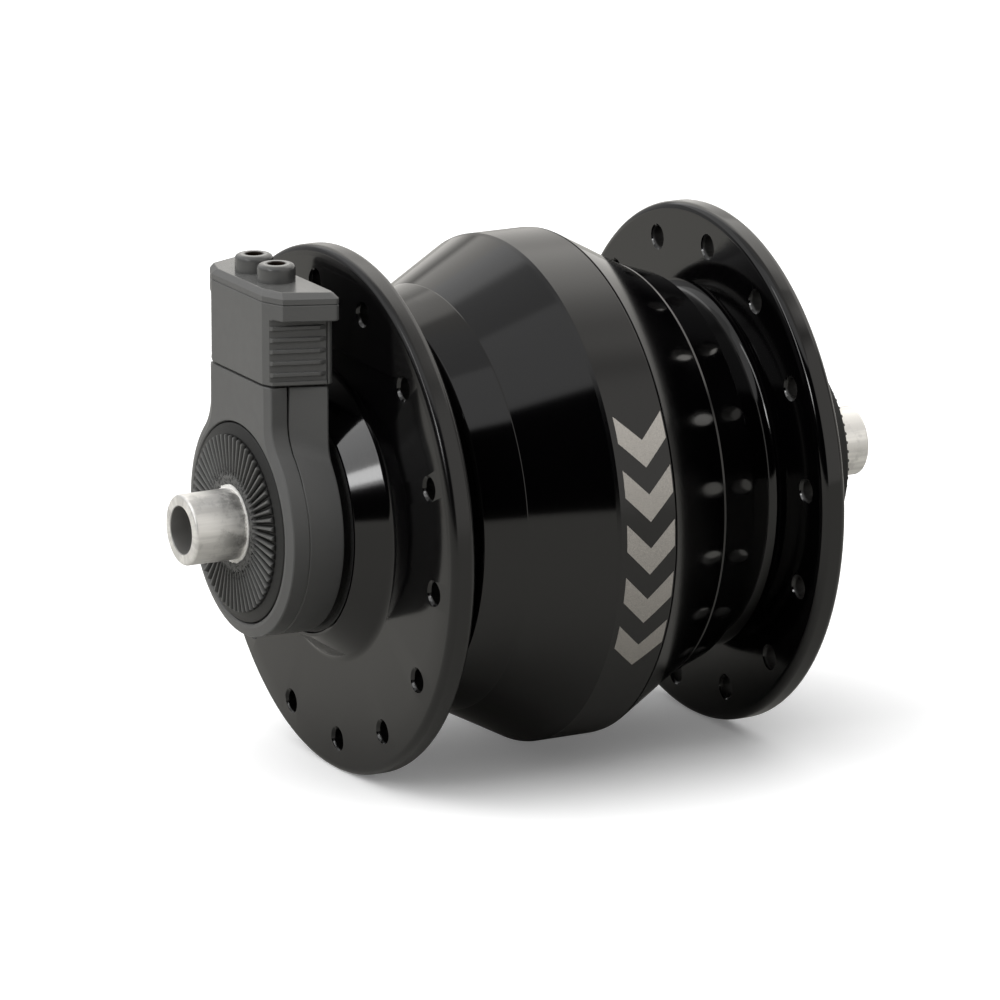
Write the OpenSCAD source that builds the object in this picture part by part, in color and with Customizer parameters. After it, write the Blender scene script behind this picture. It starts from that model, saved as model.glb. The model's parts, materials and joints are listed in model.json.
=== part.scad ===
// Dynamo hub of a bicycle front wheel, with a pull-off two-wire plug.
// The axle lies along Y through the origin, which is midway between the two locknut faces.
// The connector is at the -Y end and its plug points up, along +Z.

/* [Spoke flanges] */
// Diameter of a spoke flange
flange_d = 66.6; // [64:0.1:72]
// Thickness of a spoke flange
flange_t = 3.7; // [2.8:0.1:4.2]
// Rounding of a flange's rim on its inner side
flange_round = 1.1; // [0.3:0.1:1.4]
// Fall of a flange's outer face from the spoke holes to the rim
flange_fall = 0.5; // [0.1:0.1:0.9]
// Distance from the middle of a spoke hole to the flange's rim
spoke_edge = 4.3; // [3:0.1:5]
// Spoke holes in one flange
spoke_count = 14; // [10:1:18]
// Diameter of a spoke hole
spoke_hole_d = 2.6; // [2.2:0.1:2.9]
// Depth of the countersink on each side of a spoke hole
spoke_sink = 0.35; // [0.1:0.05:0.6]
// Turn of the left flange's first hole from +X towards +Z
spoke_turn = 18.3; // [0:0.1:25]

/* [Drum] */
// How far a flange stands out past the drum's band
flange_lip = 1.1; // [0.3:0.1:1.8]
// Width of the band from its left edge to the seam of the shells
band_w = 7.7; // [6.4:0.1:9]
// Distance of the seam from the middle of the hub
seam_y = 3.95; // [3.2:0.05:4.6]
// Fall of the drum's radius along its cone
cone_fall = 5.2; // [4:0.1:5.6]
// Width of the drum's shoulder past the cone
shoulder_w = 5.2; // [4.4:0.1:5.8]
// Fall of the drum's radius along its shoulder
shoulder_fall = 1.85; // [1:0.05:2.4]
// Distance from the middle to the drum's end wall
drum_half = 19.2; // [18.4:0.1:19.6]
// Step from the drum's edge down to the neck
neck_step = 5; // [3.6:0.1:6]
// Fillet at both ends of the neck
neck_fillet = 1.6; // [0.6:0.1:2]
// Wall of the drum's end inside the neck
end_wall = 4.4; // [3.8:0.1:4.8]

/* [Boss on the flanges] */
// Wall of the boss's tip round the bearing
boss_wall = 1.25; // [1.1:0.05:2]
// Growth of the boss's radius from its tip to the flange
boss_flare = 3.2; // [2:0.1:4.4]
// Height of the boss over the flange
boss_h = 3.75; // [3.2:0.05:4.2]
// Gap between the boss and the connector housing
boss_gap = 1; // [0.8:0.05:1.4]

/* [Axle] */
// Diameter of the axle through the bearings and the stator
axle_d = 12; // [11:0.1:13]
// Step from the axle down to the threads under the locknuts
thread_step = 0.5; // [0.3:0.05:0.8]
// Step from a thread down to the end that sits in the fork
stub_step = 1.05; // [0.8:0.05:1.2]
// Diameter of the bore for the skewer
axle_bore_d = 6; // [5.2:0.1:6.4]
// Length of the stub past a locknut's face
stub_l = 6.9; // [5:0.1:8]
// Width over the faces of the two locknuts
overlock_w = 82.2; // [80:0.1:100]
// Width of the slot for the lead wires
wire_slot_w = 1.9; // [1.7:0.1:2.2]

/* [Locknuts] */
// Outer diameter of a locknut
locknut_d = 25; // [23.6:0.1:27]
// Width of the smooth cone round the serrated face
serration_rim = 1.4; // [1:0.1:2.4]
// Ridges round a locknut's face
serration_count = 60; // [48:2:64]
// Depth of the serrations
serration_h = 0.42; // [0.2:0.02:0.6]
// Height of the cone round the serrated face
locknut_cone = 1; // [0.6:0.1:1.4]
// Smooth land of the face round the axle
locknut_land = 0.75; // [0.5:0.05:1]

/* [Bearings] */
// Outer diameter of a bearing
bearing_d = 28; // [26:0.1:30]
// Width of a bearing
bearing_w = 8; // [7:0.1:8.4]
// Depth of the room for a seal outside a bearing
seal_room = 4.7; // [4.2:0.1:5.2]
// Diameter of a ball
ball_d = 4.6; // [4.2:0.1:4.8]
// Balls in a bearing
ball_count = 8; // [7:1:8]

/* [Generator] */
// Claws on each claw plate, which is also the number of magnet pairs
claw_count = 14; // [12:1:14]
// Wall of the drum's band over the flux ring
drum_wall = 3.9; // [3.4:0.1:5]
// Thickness of a claw
claw_t = 1.6; // [1.2:0.1:1.8]
// Length of the stator between its claw plates
stator_w = 15; // [14:0.2:15.4]
// Thickness of a claw plate
claw_plate_t = 1.5; // [1.2:0.1:1.8]
// Air gap between claws and magnets
air_gap = 0.4; // [0.3:0.05:0.6]
// Thickness of a magnet
magnet_t = 2.4; // [2:0.1:2.6]
// Thickness of the flux ring round the magnets
flux_t = 1.5; // [1.2:0.1:1.6]
// How far the flux ring reaches past the stator on each side
flux_over = 0.5; // [0.2:0.05:0.7]
// Gap between the coil and the claws round it
coil_gap = 1.6; // [1:0.1:4]
// Wall of the stator's core sleeve
core_t = 2; // [1.5:0.1:3]
// Width of a stator nut
stator_nut_w = 3; // [2.4:0.1:3.6]

/* [Connector] */
// How far the housing stands out past the locknut all round
housing_wall = 1.9; // [1.5:0.1:2.6]
// Depth of the housing's front half, up to its parting line
front_w = 2.7; // [2.3:0.05:2.9]
// Depth of the whole housing
housing_w = 7.4; // [7:0.1:7.8]
// Height of the tower over the round part
tower_h = 4.4; // [3.8:0.1:5.6]
// Half width of the tower at its front edge
tower_front = 8.4; // [7.6:0.1:8.8]
// Growth of that half width up to the tower's back edge
tower_flare = 2.1; // [1.4:0.1:2.6]
// Hollow between the tower and the round part
tower_fillet = 6; // [3:0.5:8]
// Width of the chamfer round the housing's front
housing_chamfer = 1.15; // [0.7:0.05:1.3]
// Distance between the two contacts
contact_pitch = 6.14; // [5.8:0.02:6.6]

/* [Plug] */
// Gap between the housing's top and the plug
plug_gap = 0.25; // [0.1:0.05:0.5]
// Height of the plug's ribbed part, up to its thumb ledge
grip_h = 8.35; // [7.2:0.05:9]
// Thickness of the thumb ledge
ledge_h = 2.05; // [1.6:0.05:2.6]
// Height of the cap's side
cap_side = 0.85; // [0.6:0.05:1.2]
// Height of the bevel on the cap
cap_bevel = 0.65; // [0.3:0.05:0.9]
// How far the thumb ledge stands out past the plug at the back edge
ledge_over = 2; // [1.4:0.1:3]
// Ribs in each grip
rib_count = 5; // [3:1:6]
// Height of a rib over the bottom of the grip
rib_h = 0.45; // [0.2:0.05:0.6]
// Outer diameter of a wire outlet
outlet_d = 4.75; // [4:0.05:5.2]
// Height of a wire outlet over the cap
outlet_h = 2.2; // [1.5:0.1:3]
// Diameter of the hole for a wire
wire_hole_d = 2.2; // [1.8:0.1:2.6]

/* [Fits] */
// Gap between a turning piece and a still one
running_gap = 0.5; // [0.3:0.05:0.6]
// Gap between pieces that slide together
slide_gap = 0.05; // [0.03:0.01:0.1]

/* [Hidden] */

round_fn = 96;
arc_steps = 6;
big = 200;
cut = 0.02;

overlock_half = overlock_w / 2;
axle_half = overlock_half + stub_l;
axle_r = axle_d / 2;
thread_r = axle_r - thread_step;
stub_r = thread_r - stub_step;
core_fit = 0.03;
locknut_r = locknut_d / 2;
serration_r = locknut_r - serration_rim;
bearing_r = bearing_d / 2;
housing_r = locknut_r + housing_wall;
housing_front = overlock_half - locknut_cone;
housing_parting = housing_front - front_w;
housing_back = housing_front - housing_w;
housing_top = housing_r + tower_h;
tower_back = tower_front + tower_flare;
thread_start = housing_parting - 1.4;
boss_end = housing_back - boss_gap;
flange_out = boss_end - boss_h;
flange_in = flange_out - flange_t;
flange_r = flange_d / 2;
spoke_circle_r = flange_r - spoke_edge;
spoke_pitch = 360 / spoke_count;
band_r = flange_r - flange_lip;
drum_end_r = band_r - cone_fall;
cone_end = drum_half - shoulder_w;
neck_r = drum_end_r - neck_step;
boss_tip_r = bearing_r + boss_wall;
boss_root_r = boss_tip_r + boss_flare;
bearing_out = boss_end - seal_room;
seal_r = boss_tip_r - 0.35;
seal_seat = bearing_out + 0.2;
seal_end = boss_end - 0.1;
seal_web = 1.2;
nut_back = housing_parting - 0.4;
nut_flange = housing_parting + 0.8;
nut_neck_r = locknut_r - 2.7;
nut_hole_r = locknut_r + 0.15;
neck_hole_r = nut_neck_r + 0.15;
axle_hole_r = axle_r + slide_gap;
spacer_r = axle_r + 2.5;
bearing_in = bearing_out - bearing_w;
bearing_mid = bearing_out - bearing_w / 2;
ball_r = ball_d / 2;
ball_gap = 0.06;
race_r = ball_r + ball_gap;
ball_pitch_r = (bearing_r + axle_r) / 2;
race_in_r = ball_pitch_r - 1.6;
race_out_r = ball_pitch_r + 1.6;
lip_r = race_out_r + 0.7;
flux_r = band_r - drum_wall;
flux_in_r = flux_r - flux_t;
magnet_in_r = flux_in_r - magnet_t;
claw_r = magnet_in_r - air_gap;
coil_r = claw_r - claw_t - coil_gap;
core_r = axle_r + core_t;
cavity_r = flux_in_r - 1.9;
cavity_end = drum_half - end_wall;
stator_half = stator_w / 2;
flux_half = stator_half + flux_over;
plate_end = stator_half + claw_plate_t;
stator_nut_end = plate_end + stator_nut_w;
o_ring_d = 0.9;
o_ring_r = (flux_r + band_r) / 2;
bobbin_wall = 0.95;
coil_start_y = 2.5 - stator_half;
wire_d = 0.7;
wire_x = 0.45;
wire_z = axle_r - 0.8;
slot_floor = axle_r - 1.5;
contact_x = contact_pitch / 2;
contact_y = 3.95 - housing_front;
plug_bottom = housing_top + plug_gap;
ledge_bottom = plug_bottom + grip_h;
cap_joint = ledge_bottom + ledge_h;
blade_w = 2;
blade_t = 0.8;
blade_top = plug_bottom + 4.65;
foot_z = housing_top * 0.5655;
foot_h = 1.3;
foot_w = 3;
wire_room_z = foot_z * 0.76;
wire_rise_y = contact_y + 1.25;
part_y = -housing_parting;
front_y = -housing_front;
back_y = -housing_back;
groove = 0.12;
plug_front_y = front_y;
plug_back_half = tower_back + 0.3;
ledge_back_half = plug_back_half + ledge_over;
grip_low = plug_bottom + 0.45;
grip_high = ledge_bottom - 0.2;
rib_pitch = (grip_high - grip_low) / (rib_count + 0.07);
plug_side_half = tower_front + 0.05;
plug_side_y = front_y + 0.62;
plug_back_y = back_y + 0.5;
plug_front_half = plug_side_half - 1.5;
ledge_side_half = plug_side_half + 1.65;
ledge_side_y = front_y + 1.3;
cap_top = cap_joint + cap_side + cap_bevel;
cap_inset = 0.8;
outlet_top = cap_top + outlet_h;
leg_x = contact_x + 2.83;
leg_w = 1.2;
leg_d = 3;
leg_l = 2.8;
sleeve_t = 0.5;

// Unit vector along v
function unit(v) = v / norm(v);

// Points of one corner b of an outline, between a and c, rounded to radius q
function corner(a, b, c, q) =
    let (u = unit(a - b), w = unit(c - b), half = acos(u * w) / 2,
         room = 0.49 * min(norm(a - b), norm(c - b)) * tan(half), r = min(q, room))
    r <= 0 ? [b] :
    let (m = b + unit(u + w) * r / sin(half), p0 = b + u * r / tan(half) - m,
         p1 = b + w * r / tan(half) - m, a0 = atan2(p0[1], p0[0]), a1 = atan2(p1[1], p1[0]),
         turn = a1 - a0 > 180 ? a1 - a0 - 360 : a1 - a0 < -180 ? a1 - a0 + 360 : a1 - a0)
    [for (i = [0 : arc_steps]) m + r * [cos(a0 + turn * i / arc_steps), sin(a0 + turn * i / arc_steps)]];

// An outline whose points are [x, y, corner radius]
function softened(p) = [for (i = [0 : len(p) - 1])
    let (a = p[(i + len(p) - 1) % len(p)], b = p[i], c = p[(i + 1) % len(p)])
    each corner([a[0], a[1]], [b[0], b[1]], [c[0], c[1]], b[2])];

// A solid turned round the hub's axis from points [radius, distance along the axis]
module turned(profile) {
    rotate([-90, 0, 0]) rotate_extrude($fn = round_fn) polygon(profile);
}

// A plain ring round the hub's axis
module ring(outer, inner, from, to) {
    turned([[inner, from], [outer, from], [outer, to], [inner, to]]);
}

// The same piece on the left side of the hub: outward becomes -Y
module on_left() {
    mirror([0, 1, 0]) children();
}

// A solid between two or more rings of points, each ring listed clockwise as seen from its start
module loft(rings) {
    n = len(rings[0]);
    last = len(rings) - 1;
    polyhedron(
        points = [for (r = rings) each r],
        faces = concat(
            [[for (i = [0 : n - 1]) i]],
            [[for (i = [n - 1 : -1 : 0]) last * n + i]],
            [for (s = [0 : last - 1], i = [0 : n - 1]) let (j = (i + 1) % n, a = s * n, b = a + n)
                each [[a + i, b + i, b + j], [a + i, b + j, a + j]]]));
}

// Round bar between two points
module bar(from, to, d) {
    v = to - from;
    translate(from) rotate([0, acos(v[2] / norm(v)), atan2(v[1], v[0])])
        cylinder(d = d, h = norm(v), $fn = 24);
}

// Axle and locknuts

module axle() {
    tip = 0.4;
    color("lightgray") difference() {
        turned([
            [axle_bore_d / 2, -axle_half], [stub_r - tip, -axle_half], [stub_r, -axle_half + tip],
            [stub_r, -overlock_half - 0.15], [thread_r - 0.15, -overlock_half - 0.15],
            [thread_r, -overlock_half], [thread_r, -thread_start], [axle_r, -thread_start],
            [axle_r, thread_start], [thread_r, thread_start], [thread_r, overlock_half],
            [thread_r - 0.15, overlock_half + 0.15], [stub_r, overlock_half + 0.15],
            [stub_r, axle_half - tip], [stub_r - tip, axle_half], [axle_bore_d / 2, axle_half]
        ]);
        translate([-wire_slot_w / 2, wire_rise_y - 0.6, slot_floor])
            cube([wire_slot_w, coil_start_y + 0.8 - wire_rise_y + 0.6, big]);
    }
}

// Radial V grooves over the face, from the smooth land to past the rim
module serrations() {
    inner = thread_r + locknut_land;
    half = PI * inner / serration_count * 0.8;
    for (i = [0 : serration_count - 1])
        rotate([0, i * 360 / serration_count, 0])
            translate([inner, overlock_half, 0])
                rotate([90, 0, 90])
                    linear_extrude(serration_r + 0.5 - inner)
                        polygon([[0, -half], [1, -half], [1, half], [0, half], [-serration_h, 0]]);
}

module locknut() {
    shoulder = overlock_half - serration_h - 0.05;
    difference() {
        turned([
            [thread_r + core_fit, nut_back], [nut_neck_r, nut_back], [nut_neck_r, nut_flange],
            [locknut_r, nut_flange], [locknut_r, overlock_half - locknut_cone],
            [serration_r, shoulder], [serration_r, overlock_half], [thread_r + core_fit, overlock_half]
        ]);
        serrations();
    }
}

module left_locknut() {
    color("#2b2b2b") on_left() locknut();
}

module right_locknut() {
    color("#2b2b2b") locknut();
}

// Connector

// Outline of the housing in XZ: a round part and a tower of half width w, joined by hollows
function housing_outline(w, r, top) =
    let (q = tower_fillet, zc = sqrt(pow(r + q, 2) - pow(w + q, 2)), a = atan2(zc, w + q),
         right = concat(
            [[w - 0.5, top], [w, top - 0.5]],
            [for (i = [0 : 6]) [w + q, zc] + q * [cos(180 + a * i / 6), sin(180 + a * i / 6)]],
            [for (i = [1 : 22]) r * [cos(a - (a + 90) * i / 22), sin(a - (a + 90) * i / 22)]]))
    concat(right, [for (i = [len(right) - 2 : -1 : 0]) [-right[i][0], right[i][1]]]);

function housing_ring(y, w, r, top) = [for (p = housing_outline(w, r, top)) [p[0], y, p[1]]];

// Half width of the tower's side at a distance y along the axle
function tower_half(y) = tower_front + tower_flare * max(0, (y - part_y) / (back_y - part_y));

module connector_front() {
    rim_y = front_y + housing_chamfer * 0.45;
    face_r = housing_r - housing_chamfer + 0.15;
    lip_y = -nut_flange + 0.05;
    color("#4a4a4a") difference() {
        loft([
            housing_ring(front_y, tower_front - housing_chamfer, face_r, housing_top),
            housing_ring(rim_y, tower_front, housing_r, housing_top),
            housing_ring(part_y - groove, tower_half(part_y), housing_r, housing_top),
            housing_ring(part_y, tower_half(part_y) - groove, housing_r - groove, housing_top - groove)
        ]);
        turned([[0, front_y - 1], [nut_hole_r, front_y - 1], [nut_hole_r, lip_y], [0, lip_y]]);
        turned([[0, front_y], [neck_hole_r, front_y], [neck_hole_r, part_y + 1], [0, part_y + 1]]);
    }
}

module connector_back() {
    slot_y = contact_y - blade_t / 2 - slide_gap;
    slot_t = blade_t + 2 * slide_gap;
    color("#464646") difference() {
        loft([
            housing_ring(part_y, tower_half(part_y) - groove, housing_r - groove, housing_top - groove),
            housing_ring(part_y + groove, tower_half(part_y), housing_r, housing_top),
            housing_ring(back_y - 0.3, tower_back, housing_r + 0.1, housing_top),
            housing_ring(back_y, tower_back - 0.3, housing_r - 0.2, housing_top - 0.3)
        ]);
        turned([[0, part_y - 1], [neck_hole_r, part_y - 1], [neck_hole_r, -nut_back], [0, -nut_back]]);
        turned([[0, part_y - 1], [axle_hole_r, part_y - 1], [axle_hole_r, back_y + 1], [0, back_y + 1]]);
        for (s = [-1, 1]) {
            translate([s * contact_x - blade_w / 2 - slide_gap, slot_y, foot_z])
                cube([blade_w + 2 * slide_gap, slot_t, big]);
            translate([s * contact_x - foot_w / 2 - slide_gap, slot_y, foot_z - cut])
                cube([foot_w + 2 * slide_gap, slot_t, foot_h + cut]);
        }
        translate([-contact_x - foot_w / 2, contact_y - 0.5, wire_room_z])
            cube([2 * contact_x + foot_w, wire_rise_y + 0.6 - contact_y + 0.5, foot_z - wire_room_z]);
        translate([-wire_slot_w / 2, wire_rise_y - 0.6, 0])
            cube([wire_slot_w, 1.2, wire_room_z + cut]);
    }
}

module contact_pins() {
    color("goldenrod") for (s = [-1, 1]) translate([s * contact_x, contact_y, 0]) {
        translate([-foot_w / 2, -blade_t / 2, foot_z]) cube([foot_w, blade_t, foot_h - slide_gap]);
        rotate([90, 0, 0]) translate([0, 0, -blade_t / 2]) linear_extrude(blade_t)
            polygon(softened([
                [-blade_w / 2, foot_z, 0], [blade_w / 2, foot_z, 0],
                [blade_w / 2, blade_top, 0.5], [-blade_w / 2, blade_top, 0.5]
            ]));
    }
}

module lead_wires() {
    r = wire_d / 2;
    for (s = [-1, 1]) {
        low = [s * wire_x, coil_start_y, wire_z];
        out = [s * wire_x, wire_rise_y, wire_z];
        up = [s * wire_x, wire_rise_y, wire_room_z + 0.4];
        end = [s * contact_x, contact_y, foot_z - r];
        color(s < 0 ? "firebrick" : "ivory") union() {
            bar([s * wire_x, coil_start_y, core_r + bobbin_wall], low, wire_d);
            bar(low, out, wire_d);
            bar(out, up, wire_d);
            bar(up, end, wire_d);
            for (p = [low, out, up, end]) translate(p) sphere(r = r + 0.03, $fn = 24);
        }
    }
}

// Stator

module stator_sleeve() {
    color("dimgray") difference() {
        ring(core_r, axle_r + core_fit, -stator_half, stator_half);
        translate([0, coil_start_y, 0]) cylinder(r = wire_slot_w / 2, h = big, $fn = 32);
    }
}

// Disc with claws that reach across the coil, each narrower at its tip
module claw_plate() {
    pitch = PI * claw_r / claw_count;
    root_w = pitch * 0.82;
    tip_w = pitch * 0.52;
    tip_y = 0.8 - stator_half;
    bend_y = stator_half + claw_plate_t / 3;
    ring(claw_r - claw_t / 2, axle_r + core_fit, stator_half, plate_end);
    difference() {
        ring(claw_r, claw_r - claw_t, tip_y, plate_end);
        for (i = [0 : claw_count - 1])
            rotate([0, (i + 0.5) * 360 / claw_count, 0])
                translate([0, 0, claw_r - claw_t - 1]) linear_extrude(claw_t + 2)
                    polygon([
                        [root_w / 2 - pitch, plate_end + 1], [pitch - root_w / 2, plate_end + 1],
                        [pitch - root_w / 2, bend_y], [pitch - tip_w / 2, tip_y - 1],
                        [tip_w / 2 - pitch, tip_y - 1], [root_w / 2 - pitch, bend_y]
                    ]);
    }
}

module left_claw_plate() {
    color("slategray") on_left() claw_plate();
}

module right_claw_plate() {
    color("slategray") rotate([0, 180 / claw_count, 0]) claw_plate();
}

module coil_bobbin() {
    end = stator_half - 0.1;
    flange = coil_r + 0.6;
    color("ivory") difference() {
        turned([
            [core_r + slide_gap, -end], [flange, -end], [flange, -end + bobbin_wall],
            [core_r + bobbin_wall, -end + bobbin_wall], [core_r + bobbin_wall, end - bobbin_wall],
            [flange, end - bobbin_wall], [flange, end], [core_r + slide_gap, end]
        ]);
        translate([0, coil_start_y, 0]) cylinder(r = wire_slot_w / 2, h = big, $fn = 32);
    }
}

module coil_winding() {
    end = stator_half - 0.15 - bobbin_wall;
    color("chocolate") ring(coil_r, core_r + bobbin_wall + slide_gap, -end, end);
}

module stator_nut() {
    width = 2 * axle_r + 8;
    rotate([-90, 0, 0]) translate([0, 0, plate_end]) difference() {
        cylinder(d = width, h = stator_nut_w, $fn = 6);
        translate([0, 0, -1]) cylinder(r = axle_r + core_fit, h = stator_nut_w + 2, $fn = round_fn);
    }
}

module left_stator_nut() {
    color("silver") on_left() stator_nut();
}

module right_stator_nut() {
    color("silver") stator_nut();
}

module inner_spacer() {
    ring(core_r, axle_r + core_fit, stator_nut_end, bearing_in);
}

module left_inner_spacer() {
    color("silver") on_left() inner_spacer();
}

module right_inner_spacer() {
    color("silver") inner_spacer();
}

module left_outer_spacer() {
    color("silver") on_left() ring(spacer_r, axle_r + core_fit, bearing_out, housing_back);
}

module right_outer_spacer() {
    color("silver") ring(spacer_r, axle_r + core_fit, bearing_out, nut_back);
}

// Bearings

// Profile points of a ball track, from one side of the bearing to the other
function track(land, from, to) = [for (a = [from : (to - from) / 10 : to])
    [ball_pitch_r + race_r * cos(a), bearing_mid + race_r * sin(a)]];

module bearing_inner_ring() {
    open = acos((ball_pitch_r - race_in_r) / race_r);
    turned(concat(
        [[axle_r + core_fit, bearing_out], [axle_r + core_fit, bearing_in], [race_in_r, bearing_in]],
        track(race_in_r, 180 + open, 180 - open),
        [[race_in_r, bearing_out]]));
}

module bearing_outer_ring() {
    open = acos((race_out_r - ball_pitch_r) / race_r);
    turned(concat(
        [[bearing_r - core_fit, bearing_in], [bearing_r - core_fit, bearing_out], [race_out_r, bearing_out]],
        track(race_out_r, open, -open),
        [[race_out_r, bearing_in]]));
}

module left_bearing_inner_ring() {
    color("gainsboro") on_left() bearing_inner_ring();
}

module right_bearing_inner_ring() {
    color("gainsboro") bearing_inner_ring();
}

module left_bearing_outer_ring() {
    color("gainsboro") on_left() bearing_outer_ring();
}

module right_bearing_outer_ring() {
    color("gainsboro") bearing_outer_ring();
}

module bearing_shields() {
    for (y = [bearing_in + 0.35, bearing_out - 0.65])
        ring(race_out_r - slide_gap, race_in_r + 0.25, y, y + 0.3);
}

module left_bearing_shields() {
    color("#303030") on_left() bearing_shields();
}

module right_bearing_shields() {
    color("#303030") bearing_shields();
}

module at_balls() {
    for (i = [0 : ball_count - 1])
        rotate([0, i * 360 / ball_count, 0]) translate([ball_pitch_r, bearing_mid, 0]) children();
}

module balls() {
    at_balls() sphere(r = ball_r, $fn = 48);
}

module ball_cage() {
    half = ball_r + 0.35;
    difference() {
        ring(ball_pitch_r + 0.7, ball_pitch_r - 0.7, bearing_mid - half, bearing_mid + half);
        at_balls() translate([-2, 0, 0]) rotate([0, 90, 0]) cylinder(r = race_r, h = 4, $fn = 48);
    }
}

module left_balls() {
    color("white") on_left() balls();
}

module right_balls() {
    color("white") balls();
}

module left_ball_cage() {
    color("peru") on_left() ball_cage();
}

module right_ball_cage() {
    color("peru") ball_cage();
}

// Hub shells

// Half profile of a shell from its seam outwards; the left shell's seam lies past the middle
function shell_profile(seam, band_edge) = softened(concat(
    band_edge > seam ? [[band_r, seam, 0.15], [band_r, band_edge, 0.1]] : [[band_r, seam, 0.15]],
    [
        [drum_end_r, cone_end, 0.3],
        [drum_end_r - shoulder_fall * 0.38, cone_end + shoulder_w * 0.45, 4],
        [drum_end_r - shoulder_fall, drum_half, 0.5],
        [neck_r, drum_half, neck_fillet], [neck_r, flange_in, neck_fillet],
        [flange_r, flange_in, flange_round], [flange_r, flange_out - flange_fall, 0.5],
        [spoke_circle_r + 0.2, flange_out, 0],
        [boss_root_r, flange_out, 1.2], [boss_tip_r, boss_end, 0.12], [seal_r, boss_end, 0],
        [seal_r, seal_seat, 0], [bearing_r, seal_seat, 0], [bearing_r, bearing_in, 0],
        [lip_r, bearing_in, 0], [lip_r, cavity_end, 0.5], [cavity_r, cavity_end, 2],
        [cavity_r, flux_half, 0], [flux_r + core_fit, flux_half, 0], [flux_r + core_fit, seam, 0]
    ]));

module spoke_holes(turn) {
    r = spoke_hole_d / 2;
    for (i = [0 : spoke_count - 1])
        rotate([0, -turn - i * spoke_pitch, 0]) translate([spoke_circle_r, 0, 0]) rotate([-90, 0, 0]) {
            translate([0, 0, flange_in - 1]) cylinder(r = r, h = flange_t + 2, $fn = 32);
            translate([0, 0, flange_in - cut])
                cylinder(r1 = r + spoke_sink + cut, r2 = r, h = spoke_sink + cut, $fn = 32);
            translate([0, 0, flange_out - spoke_sink])
                cylinder(r1 = r, r2 = r + spoke_sink + cut, h = spoke_sink + cut, $fn = 32);
        }
}

module left_hub_shell() {
    groove_half = o_ring_d / 2 + slide_gap;
    color("#1c1c1c") difference() {
        on_left() turned(shell_profile(-seam_y, band_w - seam_y));
        on_left() spoke_holes(spoke_turn);
        ring(o_ring_r + groove_half, o_ring_r - groove_half, seam_y - o_ring_d, seam_y + 1);
    }
}

module right_hub_shell() {
    color("#1c1c1c") difference() {
        turned(shell_profile(seam_y, 0));
        spoke_holes(spoke_turn + spoke_pitch / 2);
    }
}

module shell_o_ring() {
    color("black") rotate([-90, 0, 0]) translate([0, 0, seam_y - o_ring_d / 2])
        rotate_extrude($fn = round_fn) translate([o_ring_r, 0]) circle(d = o_ring_d, $fn = 24);
}

module flux_ring() {
    color("gray") ring(flux_r, flux_in_r + core_fit, -flux_half + slide_gap, flux_half - slide_gap);
}

module magnet_ring() {
    count = 2 * claw_count;
    half = flux_half - 0.6;
    color("#5a5a60") difference() {
        ring(flux_in_r, magnet_in_r, -half, half);
        for (i = [0 : count - 1])
            rotate([0, (i + 0.5) * 360 / count, 0])
                translate([magnet_in_r - 1, -half - 1, -0.15]) cube([magnet_t + 2, 2 * half + 2, 0.3]);
    }
}

// Seals

module left_dust_seal() {
    color("#151515") on_left() turned(softened([
        [spacer_r + running_gap, seal_end - seal_web, 0.2], [seal_r - 1.2, seal_end - seal_web, 0.2],
        [seal_r - 1.2, seal_seat, 0], [seal_r - core_fit, seal_seat, 0],
        [seal_r - core_fit, seal_end, 0.2], [spacer_r + running_gap, seal_end, 0.3]
    ]));
}

module right_dust_cap() {
    color("#202020") turned(softened([
        [spacer_r + running_gap, seal_end - seal_web, 0], [seal_r - 1.2, seal_end - seal_web, 0.2],
        [seal_r - 1.2, seal_seat, 0], [seal_r - core_fit, seal_seat, 0],
        [seal_r - core_fit, seal_end, 0.3], [seal_r - 3, seal_end, 0.3],
        [seal_r - 3.4, seal_end - 0.4, 0.3], [spacer_r + running_gap, seal_end - 0.4, 0]
    ]));
}

// Plug

// Outline of the plug or its ledge in XY, narrower at the front
function plug_plan(front_half, side_half, side_y, back_half, inset) = softened([
    [-front_half + inset, plug_front_y + inset * 0.7, 0.25], [-side_half + inset, side_y + inset * 0.3, 0.25],
    [-back_half + inset, plug_back_y - inset * 0.7, 0.5], [back_half - inset, plug_back_y - inset * 0.7, 0.5],
    [side_half - inset, side_y + inset * 0.3, 0.25], [front_half - inset, plug_front_y + inset * 0.7, 0.25]
]);

function ledge_plan(inset) =
    plug_plan(plug_front_half, ledge_side_half, ledge_side_y, ledge_back_half, inset);

// Ribs of one grip, sunk into the plug's slanting side
module grip(s) {
    dx = plug_back_half - plug_side_half;
    dy = plug_back_y - plug_side_y;
    length = norm([dx, dy]) - 1.1;
    first = (grip_low + grip_high) / 2 - (rib_count - 1) * rib_pitch / 2;
    rib_w = rib_pitch * 0.42;
    mirror([s < 0 ? 1 : 0, 0, 0])
        translate([plug_side_half, plug_side_y, 0]) rotate([0, 0, -atan2(dx, dy)]) difference() {
            translate([-rib_h, 0.35, grip_low]) cube([big, length, grip_high - grip_low]);
            for (i = [0 : rib_count - 1]) translate([0, 0, first + i * rib_pitch - rib_w / 2])
                linear_extrude(rib_w)
                    polygon([
                        [-rib_h - 1, 0], [0, 0], [0, length - 0.6], [-rib_h, length + 0.1],
                        [-rib_h - 1, length + 0.1]
                    ]);
        }
}

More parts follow.
